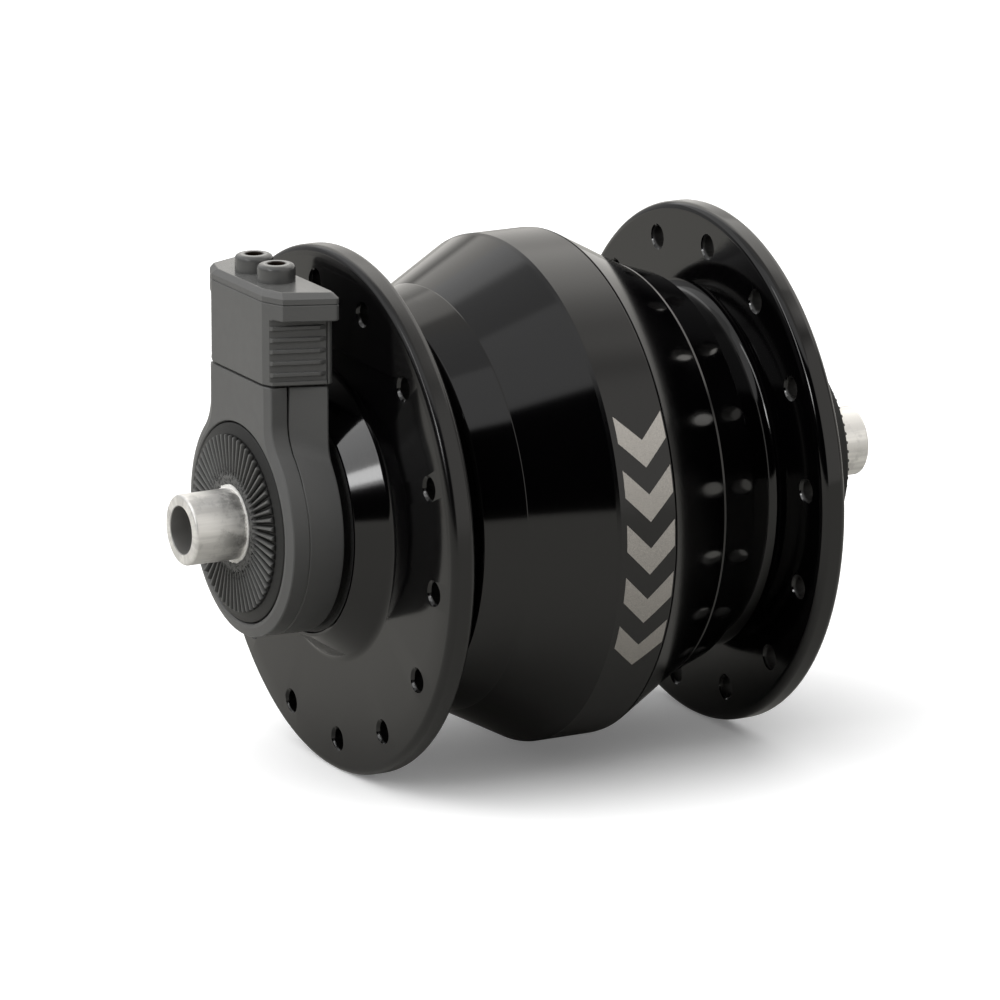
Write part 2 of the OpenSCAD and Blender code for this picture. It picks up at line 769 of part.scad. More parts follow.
module plug_body() {
    color("#525252") difference() {
        union() {
            translate([0, 0, plug_bottom]) linear_extrude(cap_joint - plug_bottom)
                polygon(plug_plan(plug_front_half, plug_side_half, plug_side_y, plug_back_half, 0));
            translate([0, 0, ledge_bottom]) linear_extrude(cap_joint - ledge_bottom)
                polygon(ledge_plan(0));
        }
        grip(1);
        grip(-1);
        for (s = [-1, 1]) {
            translate([s * contact_x - blade_w / 2 - sleeve_t - slide_gap,
                       contact_y - blade_t / 2 - sleeve_t - slide_gap, plug_bottom - 1])
                cube([blade_w + 2 * (sleeve_t + slide_gap), blade_t + 2 * (sleeve_t + slide_gap),
                      blade_top + 0.6 - plug_bottom + 1]);
            translate([s * contact_x, contact_y, blade_top])
                cylinder(r = wire_hole_d / 2 + 0.5, h = big, $fn = 32);
            translate([s * leg_x - leg_w / 2 - 0.1, contact_y + 1 - leg_d / 2 - 0.1, cap_joint - leg_l - 0.2])
                cube([leg_w + 0.2, leg_d + 0.2, big]);
        }
    }
}

module plug_terminals() {
    color("gold") for (s = [-1, 1]) translate([s * contact_x, contact_y, 0]) difference() {
        translate([-blade_w / 2 - sleeve_t, -blade_t / 2 - sleeve_t, plug_bottom + 0.3])
            cube([blade_w + 2 * sleeve_t, blade_t + 2 * sleeve_t, blade_top + 0.5 - plug_bottom - 0.3]);
        translate([-blade_w / 2 - slide_gap, -blade_t / 2 - slide_gap, plug_bottom - 1])
            cube([blade_w + 2 * slide_gap, blade_t + 2 * slide_gap, blade_top + 0.2 - plug_bottom + 1]);
    }
}

module plug_cap() {
    heights = [cap_top, cap_joint + cap_side, cap_joint];
    inset = [cap_inset, 0, 0];
    color("#5a5a5a") difference() {
        union() {
            loft([for (i = [0 : 2]) [for (p = ledge_plan(inset[i])) [p[0], p[1], heights[i]]]]);
            for (s = [-1, 1]) {
                translate([s * contact_x, contact_y, 0]) rotate_extrude($fn = 48)
                    polygon(softened([
                        [0, cap_top - 0.3, 0], [outlet_d / 2, cap_top - 0.3, 0],
                        [outlet_d / 2 - 0.08, outlet_top, 0.5], [0, outlet_top, 0]
                    ]));
                translate([s * leg_x - leg_w / 2, contact_y + 1 - leg_d / 2, cap_joint - leg_l])
                    cube([leg_w, leg_d, leg_l + 0.2]);
            }
        }
        for (s = [-1, 1]) translate([s * contact_x, contact_y, cap_joint - 1])
            cylinder(r = wire_hole_d / 2, h = big, $fn = 48);
    }
}

axle();
left_locknut();
right_locknut();
connector_front();
connector_back();
contact_pins();
lead_wires();
stator_sleeve();
left_claw_plate();
right_claw_plate();
coil_bobbin();
coil_winding();
left_stator_nut();
right_stator_nut();
left_inner_spacer();
right_inner_spacer();
left_outer_spacer();
right_outer_spacer();
left_bearing_inner_ring();
right_bearing_inner_ring();
left_hub_shell();
right_hub_shell();
flux_ring();
magnet_ring();
shell_o_ring();
left_bearing_outer_ring();
right_bearing_outer_ring();
left_bearing_shields();
right_bearing_shields();
left_dust_seal();
right_dust_cap();
left_balls();
left_ball_cage();
right_balls();
right_ball_cage();
plug_body();
plug_terminals();
plug_cap();
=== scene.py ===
"""Looks of a bicycle dynamo hub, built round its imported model.

The hub's axle lies along Y, the connector is at -Y and its plug points up. Sizes are in metres.
"""

import json
import math

import bmesh
import bpy
from bpy.props import FloatProperty, FloatVectorProperty, IntProperty, PointerProperty
from mathutils import Matrix, Vector, noise


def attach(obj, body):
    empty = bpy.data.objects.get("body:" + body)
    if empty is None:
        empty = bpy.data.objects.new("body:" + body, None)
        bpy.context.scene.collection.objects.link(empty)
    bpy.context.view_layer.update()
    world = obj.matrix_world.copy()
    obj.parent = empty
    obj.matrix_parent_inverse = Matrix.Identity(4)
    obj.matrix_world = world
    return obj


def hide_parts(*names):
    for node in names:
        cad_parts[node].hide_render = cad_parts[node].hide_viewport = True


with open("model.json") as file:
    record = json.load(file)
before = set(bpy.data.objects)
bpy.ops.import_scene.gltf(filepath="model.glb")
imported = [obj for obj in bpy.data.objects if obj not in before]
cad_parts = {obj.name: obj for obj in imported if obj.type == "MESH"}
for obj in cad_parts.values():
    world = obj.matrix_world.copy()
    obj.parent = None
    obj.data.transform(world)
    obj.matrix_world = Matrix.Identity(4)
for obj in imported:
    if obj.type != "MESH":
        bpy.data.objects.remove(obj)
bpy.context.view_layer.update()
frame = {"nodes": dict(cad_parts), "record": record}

bl_info = {
    "name": "Dynamo hub looks",
    "version": (1, 0, 0),
    "blender": (4, 5, 0),
    "location": "View3D > Sidebar > Hub",
    "description": "Builds the visible pieces, the finishes and the studio of a dynamo hub",
    "category": "Add Mesh",
}

MM = 0.001
# Steps of one turn round the axle
SHELL_STEPS = 288
RING_STEPS = 160
AXLE_STEPS = 128
EDGE_STEPS = 720
SPACER_STEPS = 96
PIN_STEPS = 40
STEPS_PER_RIDGE = 10
AXIS = (0, 1, 0)
CENTRE = (0, 0, 0)
PHOTO_SIDE = 1000
SENSOR = 36
SHARP = math.radians(28)
RAGGED = math.radians(50)
CREASE = math.radians(20)


def length(name, description, millimetres):
    """A size that the panel shows, given here in millimetres."""
    return FloatProperty(
        name=name, description=description, default=millimetres * MM,
        subtype="DISTANCE", unit="LENGTH",
    )


def colour(name, description, red, green, blue):
    """A colour that the panel shows, in linear light."""
    return FloatVectorProperty(
        name=name, description=description, default=(red, green, blue),
        subtype="COLOR", min=0, max=1,
    )


def turning(name, description, degrees):
    """A turn that the panel shows, given here in degrees."""
    return FloatProperty(
        name=name, description=description, default=math.radians(degrees),
        subtype="ANGLE", unit="ROTATION",
    )


def number(name, description, default, least):
    """A number of like things that the panel shows."""
    return IntProperty(name=name, description=description, default=default, min=least)


class HubSizes(bpy.types.PropertyGroup):
    """Sizes of the hub's two shells"""

    flange_r: length("Flange radius", "Radius of a spoke flange", 33.3)
    flange_in: length("Flange inside", "From the hub's middle to a flange's inner face", 24.25)
    flange_out: length("Flange outside", "From the hub's middle to a flange's outer face", 27.95)
    flange_fall: length("Flange fall", "Fall of a flange's outer face towards its rim", 0.42)
    hole_circle_r: length("Hole circle radius", "Radius of the circle of spoke holes", 29)
    hole_r: length("Spoke hole radius", "Radius of a spoke hole", 1.3)
    hole_sink: length("Countersink", "Depth and width of a spoke hole's countersink", 0.35)
    hole_count: number("Spoke holes", "Holes in one flange", 14, 8)
    hole_turn: turning("First hole", "Turn of the left flange's first hole", 18.3)
    band_r: length("Band radius", "Radius of the band round the drum", 32.2)
    band_edge: length("Band edge", "From the hub's middle to the band's left edge", 3.75)
    seam: length("Seam", "From the hub's middle to the seam of the shells", 3.95)
    drum_end_r: length("Drum end radius", "Radius where the drum's cone ends", 26.9)
    cone_end: length("Cone end", "From the hub's middle to the end of the cone", 13.75)
    drum_half: length("Drum half width", "From the hub's middle to the drum's end wall", 19.2)
    shoulder_fall: length("Shoulder fall", "Fall of the drum's radius along its shoulder", 1.85)
    neck_r: length("Neck radius", "Radius of the neck between drum and flange", 22)
    boss_root_r: length("Boss root radius", "Radius of the boss at the flange", 18.45)
    boss_tip_r: length("Boss tip radius", "Radius of the boss at its tip", 15.25)
    boss_end: length("Boss end", "From the hub's middle to the tip of the boss", 31.7)
    seal_r: length("Seal radius", "Radius of the seat for the seal", 14.9)
    bearing_r: length("Bearing radius", "Radius of the bearing's seat", 14)
    bearing_in: length("Bearing inside", "From the hub's middle to the bearing's inner side", 19)
    bearing_out: length("Bearing outside", "From the hub's middle to the bearing's outer side", 27)
    cavity_r: length("Cavity radius", "Radius of the space at the generator's ends", 24.9)
    cavity_end: length("Cavity end", "From the hub's middle to the cavity's end wall", 14.8)
    flux_r: length("Flux ring seat", "Radius of the flux ring's seat", 28.43)
    flux_half: length("Flux seat half width", "Half width of the flux ring's seat", 8)


class AxleSizes(bpy.types.PropertyGroup):
    """Sizes of the axle and its locknuts"""

    bore_r: length("Bore radius", "Radius of the bore through the axle", 3)
    stub_r: length("Stub radius", "Radius of the ends that sit in the fork", 4.45)
    thread_r: length("Thread radius", "Radius of the axle's threads", 5.5)
    shaft_r: length("Shaft radius", "Radius of the axle inside the hub", 6)
    half: length("Half length", "From the hub's middle to the axle's tip", 48)
    face: length("Locknut face", "From the hub's middle to a locknut's face", 41.1)
    thread_start: length("Thread start", "From the hub's middle to the start of a thread", 36)
    nut_r: length("Locknut radius", "Outer radius of a locknut", 12.5)
    ridge_r: length("Ridge radius", "Radius of the serrated face", 11.1)
    lip_r: length("Lip radius", "Radius of the opening in a locknut's face", 4.95)
    land_r: length("Land radius", "Radius of the smooth land round the axle", 5.95)
    neck_r: length("Nut neck radius", "Radius of a locknut's neck", 9.8)
    nut_back: length("Nut back", "From the hub's middle to a locknut's back", 37)
    nut_flange: length("Nut flange", "From the hub's middle to the back of its flange", 38.2)
    nut_rim: length("Nut rim", "From the hub's middle to the rim's front edge", 40.1)
    ridge_depth: length("Ridge depth", "Depth of the grooves between ridges", 0.55)
    ridge_count: number("Ridges", "Ridges round a face", 60, 24)


class ConnectorSizes(bpy.types.PropertyGroup):
    """Sizes of the connector housing and its plug"""

    front: length("Front", "From the hub's middle to the housing's front face", 40.1)
    parting: length("Parting", "From the hub's middle to the parting line", 37.4)
    back: length("Back", "From the hub's middle to the housing's back face", 32.7)
    round_r: length("Housing radius", "Radius of the housing round the axle", 14.4)
    hole_r: length("Nut opening", "Radius of the opening round the locknut", 12.65)
    top: length("Top", "Height of the housing over the axle", 18.8)
    tower_front: length("Tower front", "Half width of the tower at its front edge", 8.4)
    tower_back: length("Tower back", "Half width of the tower at its back edge", 10.5)
    hollow_r: length("Hollow", "Radius of the hollow between tower and round part", 6)
    chamfer: length("Chamfer", "Width of the chamfer round the front", 1.15)
    plug_bottom: length("Plug bottom", "Height of the plug's underside", 19.05)
    ledge_bottom: length("Ledge bottom", "Height of the thumb ledge's underside", 27.4)
    cap_joint: length("Cap joint", "Height of the joint between plug and cap", 29.45)
    cap_side: length("Cap side", "Height of the cap's side", 0.85)
    cap_bevel: length("Cap bevel", "Height of the bevel on the cap", 0.65)
    cap_inset: length("Cap inset", "Width of the bevel on the cap", 0.8)
    plug_front_half: length("Plug front", "Half width of the plug's front face", 6.95)
    plug_side_half: length("Plug side", "Half width of the plug where its side starts", 8.45)
    plug_side_y: length("Side start", "From the hub's middle to where its side starts", 39.48)
    plug_back_half: length("Plug back", "Half width of the plug at its back edge", 10.8)
    plug_back: length("Plug's back face", "From the hub's middle to the plug's back face", 32.2)
    ledge_side_half: length("Ledge side", "Half width of the ledge where its side starts", 10.1)
    ledge_side_y: length("Ledge start", "From the hub's middle to where the ledge starts", 38.8)
    ledge_back_half: length("Ledge back", "Half width of the thumb ledge at its back edge", 12.8)
    rib_pitch: length("Rib pitch", "Distance from rib to rib", 1.46)
    rib_height: length("Rib height", "Height of the ribs over the plug's side", 0.36)
    grip_end: length("Grip end", "Length of the grip along the plug's side", 6.9)
    rib_count: number("Ribs", "Ribs in each grip", 5, 1)
    outlet_x: length("Outlet place", "From the plug's middle to a wire outlet", 3.07)
    outlet_y: length("Outlet depth", "Place of a wire outlet along the axle", -36.15)
    outlet_r: length("Outlet radius", "Radius of a wire outlet", 2.375)
    outlet_h: length("Outlet height", "Height of a wire outlet over the cap", 2.15)
    wire_hole_r: length("Wire hole", "Radius of the hole for a wire", 1.1)
    contact_top: length("Contact top", "Height of the tips of the contacts", 24)


class MarkSizes(bpy.types.PropertyGroup):
    """Sizes of the row of arrow marks on the band"""

    middle: length("Middle", "Place of the row along the axle", 0.38)
    half_width: length("Half width", "Half the width of the row", 3.34)
    pitch: length("Pitch", "Distance from mark to mark round the band", 6.74)
    arm: length("Arm", "Width of a mark's arm round the band", 3.4)
    count: number("Marks", "Number of marks", 5, 1)
    first: turning("First mark", "Turn of the first mark's corners from +X", 22.5)


class Finishes(bpy.types.PropertyGroup):
    """Colours of the finishes"""

    black: colour("Anodised black", "Hub shells", 0.0008, 0.0007, 0.0009)
    mark: colour("Mark", "Laser-etched marks on the band", 0.50, 0.47, 0.43)
    alloy: colour("Alloy", "Bare axle ends", 1.0, 0.985, 0.955)
    nut: colour("Locknut", "Serrated locknuts", 0.105, 0.105, 0.102)
    housing: colour("Housing", "Connector housing", 0.090, 0.090, 0.0885)
    plug: colour("Plug", "Plug and cap", 0.095, 0.095, 0.093)
    rubber: colour("Rubber", "Seals", 0.012, 0.012, 0.012)
    steel: colour("Steel", "Raw and plated steel inside", 0.52, 0.52, 0.52)
    brass: colour("Brass", "Contacts and ball cages", 0.72, 0.50, 0.22)
    copper: colour("Copper", "Enamelled winding", 0.48, 0.17, 0.07)
    nylon: colour("Nylon", "Coil bobbin", 0.62, 0.57, 0.45)
    magnet: colour("Magnet", "Nickel-plated magnets", 0.30, 0.29, 0.28)
    wire: colour("Wire", "Insulation of the leads", 0.45, 0.05, 0.03)


class StageSettings(bpy.types.PropertyGroup):
    """Camera, floor and lamps"""

    azimuth: turning("Azimuth", "Turn of the camera round the hub", 61.81)
    elevation: turning("Elevation", "Height of the camera over the horizon", 14.68)
    distance: length("Distance", "Camera to the hub's middle", 1007.75)
    aside: length("Aside", "Hub's middle to the right of the picture's centre", 2.99)
    above: length("Above", "Hub's middle above the picture's centre", 2.01)
    focal: FloatProperty(
        name="Focal length", description="In pixels of the photograph", default=8000,
    )
    floor_reach: length("Floor", "Half the width of the floor", 3000)


PROPERTY_GROUPS = {
    "hub_sizes": HubSizes,
    "axle_sizes": AxleSizes,
    "connector_sizes": ConnectorSizes,
    "mark_sizes": MarkSizes,
    "finishes": Finishes,
    "stage_settings": StageSettings,
}


# Shader maths


class Term:
    """A socket whose operators add Math nodes."""

    def __init__(self, paint, socket):
        self.paint = paint
        self.socket = socket

    def math(self, operation, *others):
        """A Math node on this value and the others."""
        node = self.paint.tree.nodes.new("ShaderNodeMath")
        node.operation = operation
        for slot, value in zip(node.inputs, (self, *others)):
            self.paint.join(slot, value)
        return Term(self.paint, node.outputs[0])

    def swapped(self, operation, other):
        """A Math node with the other value first."""
        node = self.paint.tree.nodes.new("ShaderNodeMath")
        node.operation = operation
        self.paint.join(node.inputs[0], other)
        self.paint.join(node.inputs[1], self)
        return Term(self.paint, node.outputs[0])

    def __add__(self, other):
        return self.math("ADD", other)

    def __radd__(self, other):
        return self.math("ADD", other)

    def __sub__(self, other):
        return self.math("SUBTRACT", other)

    def __rsub__(self, other):
        return self.swapped("SUBTRACT", other)

    def __mul__(self, other):
        return self.math("MULTIPLY", other)

    def __rmul__(self, other):
        return self.math("MULTIPLY", other)

    def __truediv__(self, other):
        return self.math("DIVIDE", other)

    def __pow__(self, other):
        return self.math("POWER", other)

    def __abs__(self):
        return self.math("ABSOLUTE")

    def __gt__(self, other):
        return self.math("GREATER_THAN", other)

    def __lt__(self, other):
        return self.math("LESS_THAN", other)

    def __mod__(self, other):
        return self.math("FLOORED_MODULO", other)

    def clamped(self):
        """Kept between nought and one."""
        return self.math("MAXIMUM", 0).math("MINIMUM", 1)


class Nodes:
    """A node tree, with short ways to add to it."""

    def __init__(self, tree, place):
        self.tree = tree
        self.place = Term(self, tree.nodes.new("ShaderNodeTexCoord").outputs[place])

    def join(self, slot, value):
        """Links a socket to a slot, or writes a plain value there."""
        if isinstance(value, Term):
            self.tree.links.new(value.socket, slot)
        else:
            slot.default_value = value

    def node(self, kind, settings=None, inputs=None, output=0):
        """Adds a node, sets it up and gives one of its outputs."""
        node = self.tree.nodes.new(kind)
        for key, value in (settings or {}).items():
            setattr(node, key, value)
        for key, value in (inputs or {}).items():
            self.join(node.inputs[key], value)
        return Term(self, node.outputs[output])

    def xyz(self):
        """The three coordinates of the place on the object."""
        node = self.tree.nodes.new("ShaderNodeSeparateXYZ")
        self.join(node.inputs[0], self.place)
        return [Term(self, socket) for socket in node.outputs]

    def background(self):
        """One where a camera, mirrored or refracted ray looks, and nought for soft light."""
        path = self.tree.nodes.new("ShaderNodeLightPath")
        seen = ("Is Camera Ray", "Is Glossy Ray", "Is Transmission Ray")
        camera, glossy, through = (Term(self, path.outputs[name]) for name in seen)
        return camera, (camera + glossy + through).clamped()

    def polar(self):
        """Radius from the axle, place along it and turn round it."""
        x, y, z = self.xyz()
        return (x * x + z * z) ** 0.5, y, z.math("ARCTAN2", x)

    def noise(self, scale, detail, roughness, vector=None):
        """Noise round 0.5."""
        place = vector or self.place
        return self.node(
            "ShaderNodeTexNoise",
            {"noise_dimensions": "3D"},
            {"Vector": place, "Scale": scale, "Detail": detail, "Roughness": roughness},
        )

    def vector(self, x, y, z):
        """A vector of three values."""
        return self.node("ShaderNodeCombineXYZ", None, {0: x, 1: y, 2: z})

    def mixed(self, factor, first, second):
        """A colour between two, by factor."""
        return self.node(
            "ShaderNodeMix",
            {"data_type": "RGBA"},
            {0: factor, 6: rgba(first), 7: rgba(second)},
            2,
        )

    def bump(self, height, distance):
        """A fine relief, as high as distance where height is one."""
        inputs = {"Height": height, "Distance": distance, "Strength": 1.0}
        return self.node("ShaderNodeBump", None, inputs)


class Paint(Nodes):
    """A material on the object's own coordinates."""

    def __init__(self, name):
        self.material = bpy.data.materials.new(name)
        self.material.use_nodes = True
        super().__init__(self.material.node_tree, "Object")
        self.shader = self.tree.nodes["Principled BSDF"]

    def set(self, **values):
        """Sets sockets of the shader: base_color stands for Base Color, and so on."""
        names = {slot.name.lower().replace(" ", "_"): slot for slot in self.shader.inputs}
        for key, value in values.items():
            if key == "base_color":
                value = rgba(value)
            self.join(names[key], value)
        return self


def rgba(value):
    """A colour with its alpha, or the socket as it is."""
    if isinstance(value, Term):
        return value
    return (*tuple(value)[:3], 1)


def shade(value, factor):
    """A colour made lighter or darker."""
    return tuple(part * factor for part in value[:3])


MADE = {}


def made_once(maker):
    """Keeps each material, so that pieces of one finish share it."""

    def wrapped(*arguments):
        key = (maker.__name__, *arguments)
        if key not in MADE:
            MADE[key] = maker(*arguments).material
        return MADE[key]

    return wrapped


def finishes():
    """The colours that the panel shows."""
    return bpy.context.scene.finishes


# Tone of the drilled walls, and the gloss that both shells share
BORED_TONE = (0.012, 0.0115, 0.011)
GLOSS = 0.06
RING_RELIEF = 0.6e-6


def turned_rings(paint, radius, along, turn):
    """The finest rings that turning leaves, and the faint cloud over them."""
    rings = paint.noise(1.0, 2.0, 0.7, paint.vector(radius * 9000, along * 9000, turn * 1.5))
    return rings, paint.noise(60, 4.0, 0.6)


def in_holes(radius, along, turn, first):
    """One inside the spoke holes of a flange, whose drilled walls are duller."""
    hub = bpy.context.scene.hub_sizes
    step = math.tau / hub.hole_count
    aside = ((turn - first + step / 2) % step - step / 2) * hub.hole_circle_r
    off = radius - hub.hole_circle_r
    in_wall = (aside * aside + off * off) ** 0.5 < hub.hole_r + 0.2 * MM
    in_flange = abs(along) > hub.flange_in - 0.1 * MM
    return in_wall * in_flange


@made_once
def anodised_black(name="anodised_black"):
    """Glossy black over a turned surface: fine rings, faint dust and a little uneven gloss."""
    paint = Paint(name)
    radius, along, turn = paint.polar()
    rings, cloud = turned_rings(paint, radius, along, turn)
    black = finishes().black
    hub = bpy.context.scene.hub_sizes
    bored = in_holes(radius, along, turn, hub.hole_turn + math.pi / hub.hole_count)
    tone = paint.mixed(cloud, shade(black, 0.75), shade(black, 1.3))
    return paint.set(
        base_color=paint.mixed(bored, tone, BORED_TONE),
        roughness=GLOSS + 0.05 * rings + 0.03 * cloud + bored * 0.3,
        normal=paint.bump(rings, RING_RELIEF),
    )


@made_once
def banded_black(name="band_black"):
    """The anodised finish with a row of etched arrow marks on the drum's band."""
    paint = Paint(name)
    marks = bpy.context.scene.mark_sizes
    hub = bpy.context.scene.hub_sizes
    radius, along, turn = paint.polar()
    rings, cloud = turned_rings(paint, radius, along, turn)
    aside = abs(along - marks.middle)
    run = turn * hub.band_r - aside
    first = marks.first * hub.band_r
    step = (run - first) % marks.pitch
    arm = step > (marks.pitch - marks.arm)
    in_row = (run < first) * (run > (first - marks.pitch * (marks.count - 1) - marks.arm))
    on_band = (radius > hub.band_r - 0.4 * MM) * (aside < marks.half_width)
    etched = arm * in_row * on_band
    grit = paint.noise(9000, 2.0, 0.8)
    black = finishes().black
    mark = finishes().mark
    dark = paint.mixed(cloud, shade(black, 0.75), shade(black, 1.3))
    pale = paint.mixed((grit - 0.35) * 3.3, shade(mark, 0.72), shade(mark, 1.2))
    bored = in_holes(radius, along, turn, hub.hole_turn)
    # Painted shade: the left flange's spoke-hole walls are five times darker than the same walls
    # on the right flange
    dark = paint.mixed(bored, dark, shade(BORED_TONE, 0.2))
    satin = (radius > hub.band_r - 0.25 * MM) * 0.12
    duller = bored * 0.12 + satin + etched * 0.4
    return paint.set(
        base_color=paint.mixed(etched, dark, pale),
        roughness=GLOSS + 0.05 * rings + 0.03 * cloud + duller,
        normal=paint.bump(rings + etched * grit * 3, RING_RELIEF),
    )


@made_once
def bare_alloy(name="bare_alloy"):
    """Bright bare metal with turning rings, smudges, small nicks, painted reflection streaks and
    painted shade.
    """
    paint = Paint(name)
    radius, along, turn = paint.polar()
    rings = paint.noise(1.0, 2.0, 0.6, paint.vector(radius * 7000, along * 7000, turn * 2))
    smudge = paint.noise(420, 5.0, 0.65)
    nicks = paint.noise(2600, 3.0, 0.6)
    worn = ((smudge - 0.52) * 6).clamped()
    axle = bpy.context.scene.axle_sizes
    # Painted reflection: light and dark streaks that run along the axle, as the mirrored room
    # shows on bare metal
    painted_reflection_bands = paint.noise(1.0, 3.0, 0.55, paint.vector(turn * 2.6, along * 45, radius * 90))
    painted_reflection_bands = ((painted_reflection_bands - 0.43) * 5).clamped()
    # Painted shade: dark patches over the last few millimetres of the stub beside the locknut
    near_ring = ((axle.face + 3.4 * MM - abs(along)) / (2.6 * MM)).clamped()
    shade_by_nut = near_ring * ((smudge - 0.42) * 5).clamped()
    # Painted shade: the wall of the bore is made darker than the rest of the alloy
    inside = radius < axle.bore_r + 0.1 * MM
    alloy = finishes().alloy
    # Painted reflection streaks darken the alloy by up to a quarter
    tone = paint.mixed(painted_reflection_bands, shade(alloy, 0.76), alloy)
    tone = paint.mixed(worn, tone, shade(alloy, 0.66))
    tone = paint.mixed(shade_by_nut * 0.85, tone, shade(alloy, 0.18))
    tone = paint.mixed(inside, tone, shade(alloy, 0.4))
    return paint.set(
        base_color=tone,
        metallic=0.78,
        roughness=0.34 + 0.12 * rings + 0.16 * worn,
        normal=paint.bump(rings + nicks * 1.5, 4e-6),
    )


TORN_TONES = ((0.95, 0.94, 0.92), (0.78, 0.77, 0.74))


@made_once
def ragged_alloy(name="ragged_alloy"):
    """The torn bright edge of the thread next to the locknut."""
    paint = Paint(name)
    torn = paint.noise(3200, 4.0, 0.75)
    return paint.set(
        base_color=paint.mixed(torn, TORN_TONES[0], TORN_TONES[1]),
        metallic=0.35,
        roughness=0.5 + 0.3 * torn,
        normal=paint.bump(torn, 60e-6),
    )


@made_once
def serrated_black(name="serrated_black"):
    """Dull dark locknut, with a pitted face round the axle and painted shade in its grooves."""
    paint = Paint(name)
    radius, along, turn = paint.polar()
    axle = bpy.context.scene.axle_sizes
    grain = paint.noise(5200, 4.0, 0.7)
    streak = paint.noise(1.0, 3.0, 0.6, paint.vector(radius * 500, along * 500, turn * 60))
    inner = ((axle.land_r + 1.7 * MM - radius) / (1.6 * MM)).clamped()
    pits = ((paint.noise(3000, 3.0, 0.7) - 0.5) * 8).clamped() * inner
    # Painted shade: the grooves between the ridges grow darker with depth, near black at their
    # floor
    sunk = ((axle.face - 0.04 * MM - abs(along)) / axle.ridge_depth).clamped()
    cone = radius > axle.ridge_r + 0.05 * MM
    nut = finishes().nut
    tone = paint.mixed(grain, shade(nut, 0.7), shade(nut, 1.35))
    # Painted groove shade; the smooth cone round the ridges is made nearly black as well
    tone = paint.mixed((sunk * 1.25 * (1 - cone) + cone * 0.82).clamped(), tone, shade(nut, 0.04))
    tone = paint.mixed(pits, tone, shade(nut, 0.12))
    return paint.set(
        base_color=tone,
        roughness=0.42 + 0.2 * grain - 0.1 * streak,
        ior=1.34,
        normal=paint.bump(grain * 0.25 + pits * 2, 40e-6),
    )


# Painted shade inside the wire holes, above the contacts
HOLE_SHADE = (0.012, 0.008, 0.005)


def moulded(name, tone, grain_size):
    """Matte, finely grained plastic, smoother on top, with painted shade and highlights at the
    wire outlets.
    """
    paint = Paint(name)
    size = bpy.context.scene.connector_sizes
    x, y, z = paint.xyz()
    grain = paint.noise(grain_size, 3.0, 0.6)
    cloud = paint.noise(140, 4.0, 0.6)
    shine = paint.noise(700, 2.0, 0.5)
    aside = abs(x) - size.outlet_x
    behind = y - size.outlet_y
    off = (aside * aside + behind * behind) ** 0.5
    top = size.cap_joint + size.cap_side + size.cap_bevel
    lid = z > top - 0.1 * MM
    # Painted shade: the wire holes' walls above the contacts are nearly black
    hole = (off < size.wire_hole_r + 0.12 * MM) * (z > size.contact_top)
    # Painted highlight: a light ring round each wire hole on the outlets' tops
    rim = abs(off - size.wire_hole_r - 0.42 * MM) < 0.16 * MM
    outlet = off < size.outlet_r + 0.05 * MM
    surface = paint.mixed(cloud * 0.7 + grain * 0.3, shade(tone, 0.88), shade(tone, 1.12))
    # Painted shade: the wire outlets standing on the lid are made darker than the rest of it
    surface = paint.mixed(outlet * lid * 0.5, surface, shade(tone, 0.6))
    # Painted highlight ring, 2.6 times lighter than the plastic
    surface = paint.mixed(rim * lid * 0.6, surface, shade(tone, 2.6))
    return paint.set(
        base_color=paint.mixed(hole, surface, HOLE_SHADE),
        roughness=0.38 + 0.12 * shine - 0.22 * lid,
        ior=1.46,
        normal=paint.bump(grain, 9e-6),
    )


@made_once
def housing_plastic(name="housing_plastic"):
    """Dark grey moulding of the connector housing."""
    return moulded(name, finishes().housing, 5200)


@made_once
def plug_plastic(name="plug_plastic"):
    """Slightly softer grey moulding of the plug."""
    return moulded(name, finishes().plug, 4600)


@made_once
def seal_rubber(name="seal_rubber"):
    """Black rubber with a rough, dusty skin."""
    paint = Paint(name)
    lumps = paint.noise(2200, 5.0, 0.7)
    dust = ((paint.noise(3800, 3.0, 0.7) - 0.6) * 7).clamped()
    rubber = finishes().rubber
    return paint.set(
        base_color=paint.mixed(dust, rubber, shade(rubber, 5)),
        roughness=0.4 + 0.3 * lumps,
        ior=1.5,
        normal=paint.bump(lumps, 70e-6),
    )


@made_once
def machined(name, tone, rough, metallic):
    """Turned or ground metal of a piece inside the hub."""
    paint = Paint(name)
    radius, along, turn = paint.polar()
    rings = paint.noise(1.0, 2.0, 0.6, paint.vector(radius * 6000, along * 6000, turn * 2))
    cloud = paint.noise(260, 4.0, 0.6)
    return paint.set(
        base_color=paint.mixed(cloud, shade(tone, 0.8), shade(tone, 1.15)),
        metallic=metallic,
        roughness=rough + 0.12 * rings + 0.08 * cloud,
        normal=paint.bump(rings, 2e-6),
    )


@made_once
def wound_copper(name="wound_copper"):
    """Enamelled wire in close turns round the bobbin."""
    paint = Paint(name)
    radius, along, _ = paint.polar()
    wire = 0.35 * MM
    turns, layers = (
        (place * (math.tau / wire)).math("SINE") * 0.5 + 0.5 for place in (along, radius)
    )
    copper = finishes().copper
    tone = paint.mixed(paint.noise(300, 3.0, 0.6), shade(copper, 0.75), shade(copper, 1.25))
    return paint.set(
        base_color=tone,
        metallic=0.85,
        roughness=0.3 + 0.15 * turns,
        coat_weight=0.6,
        normal=paint.bump(turns * layers, 90e-6),
    )


# Meshes


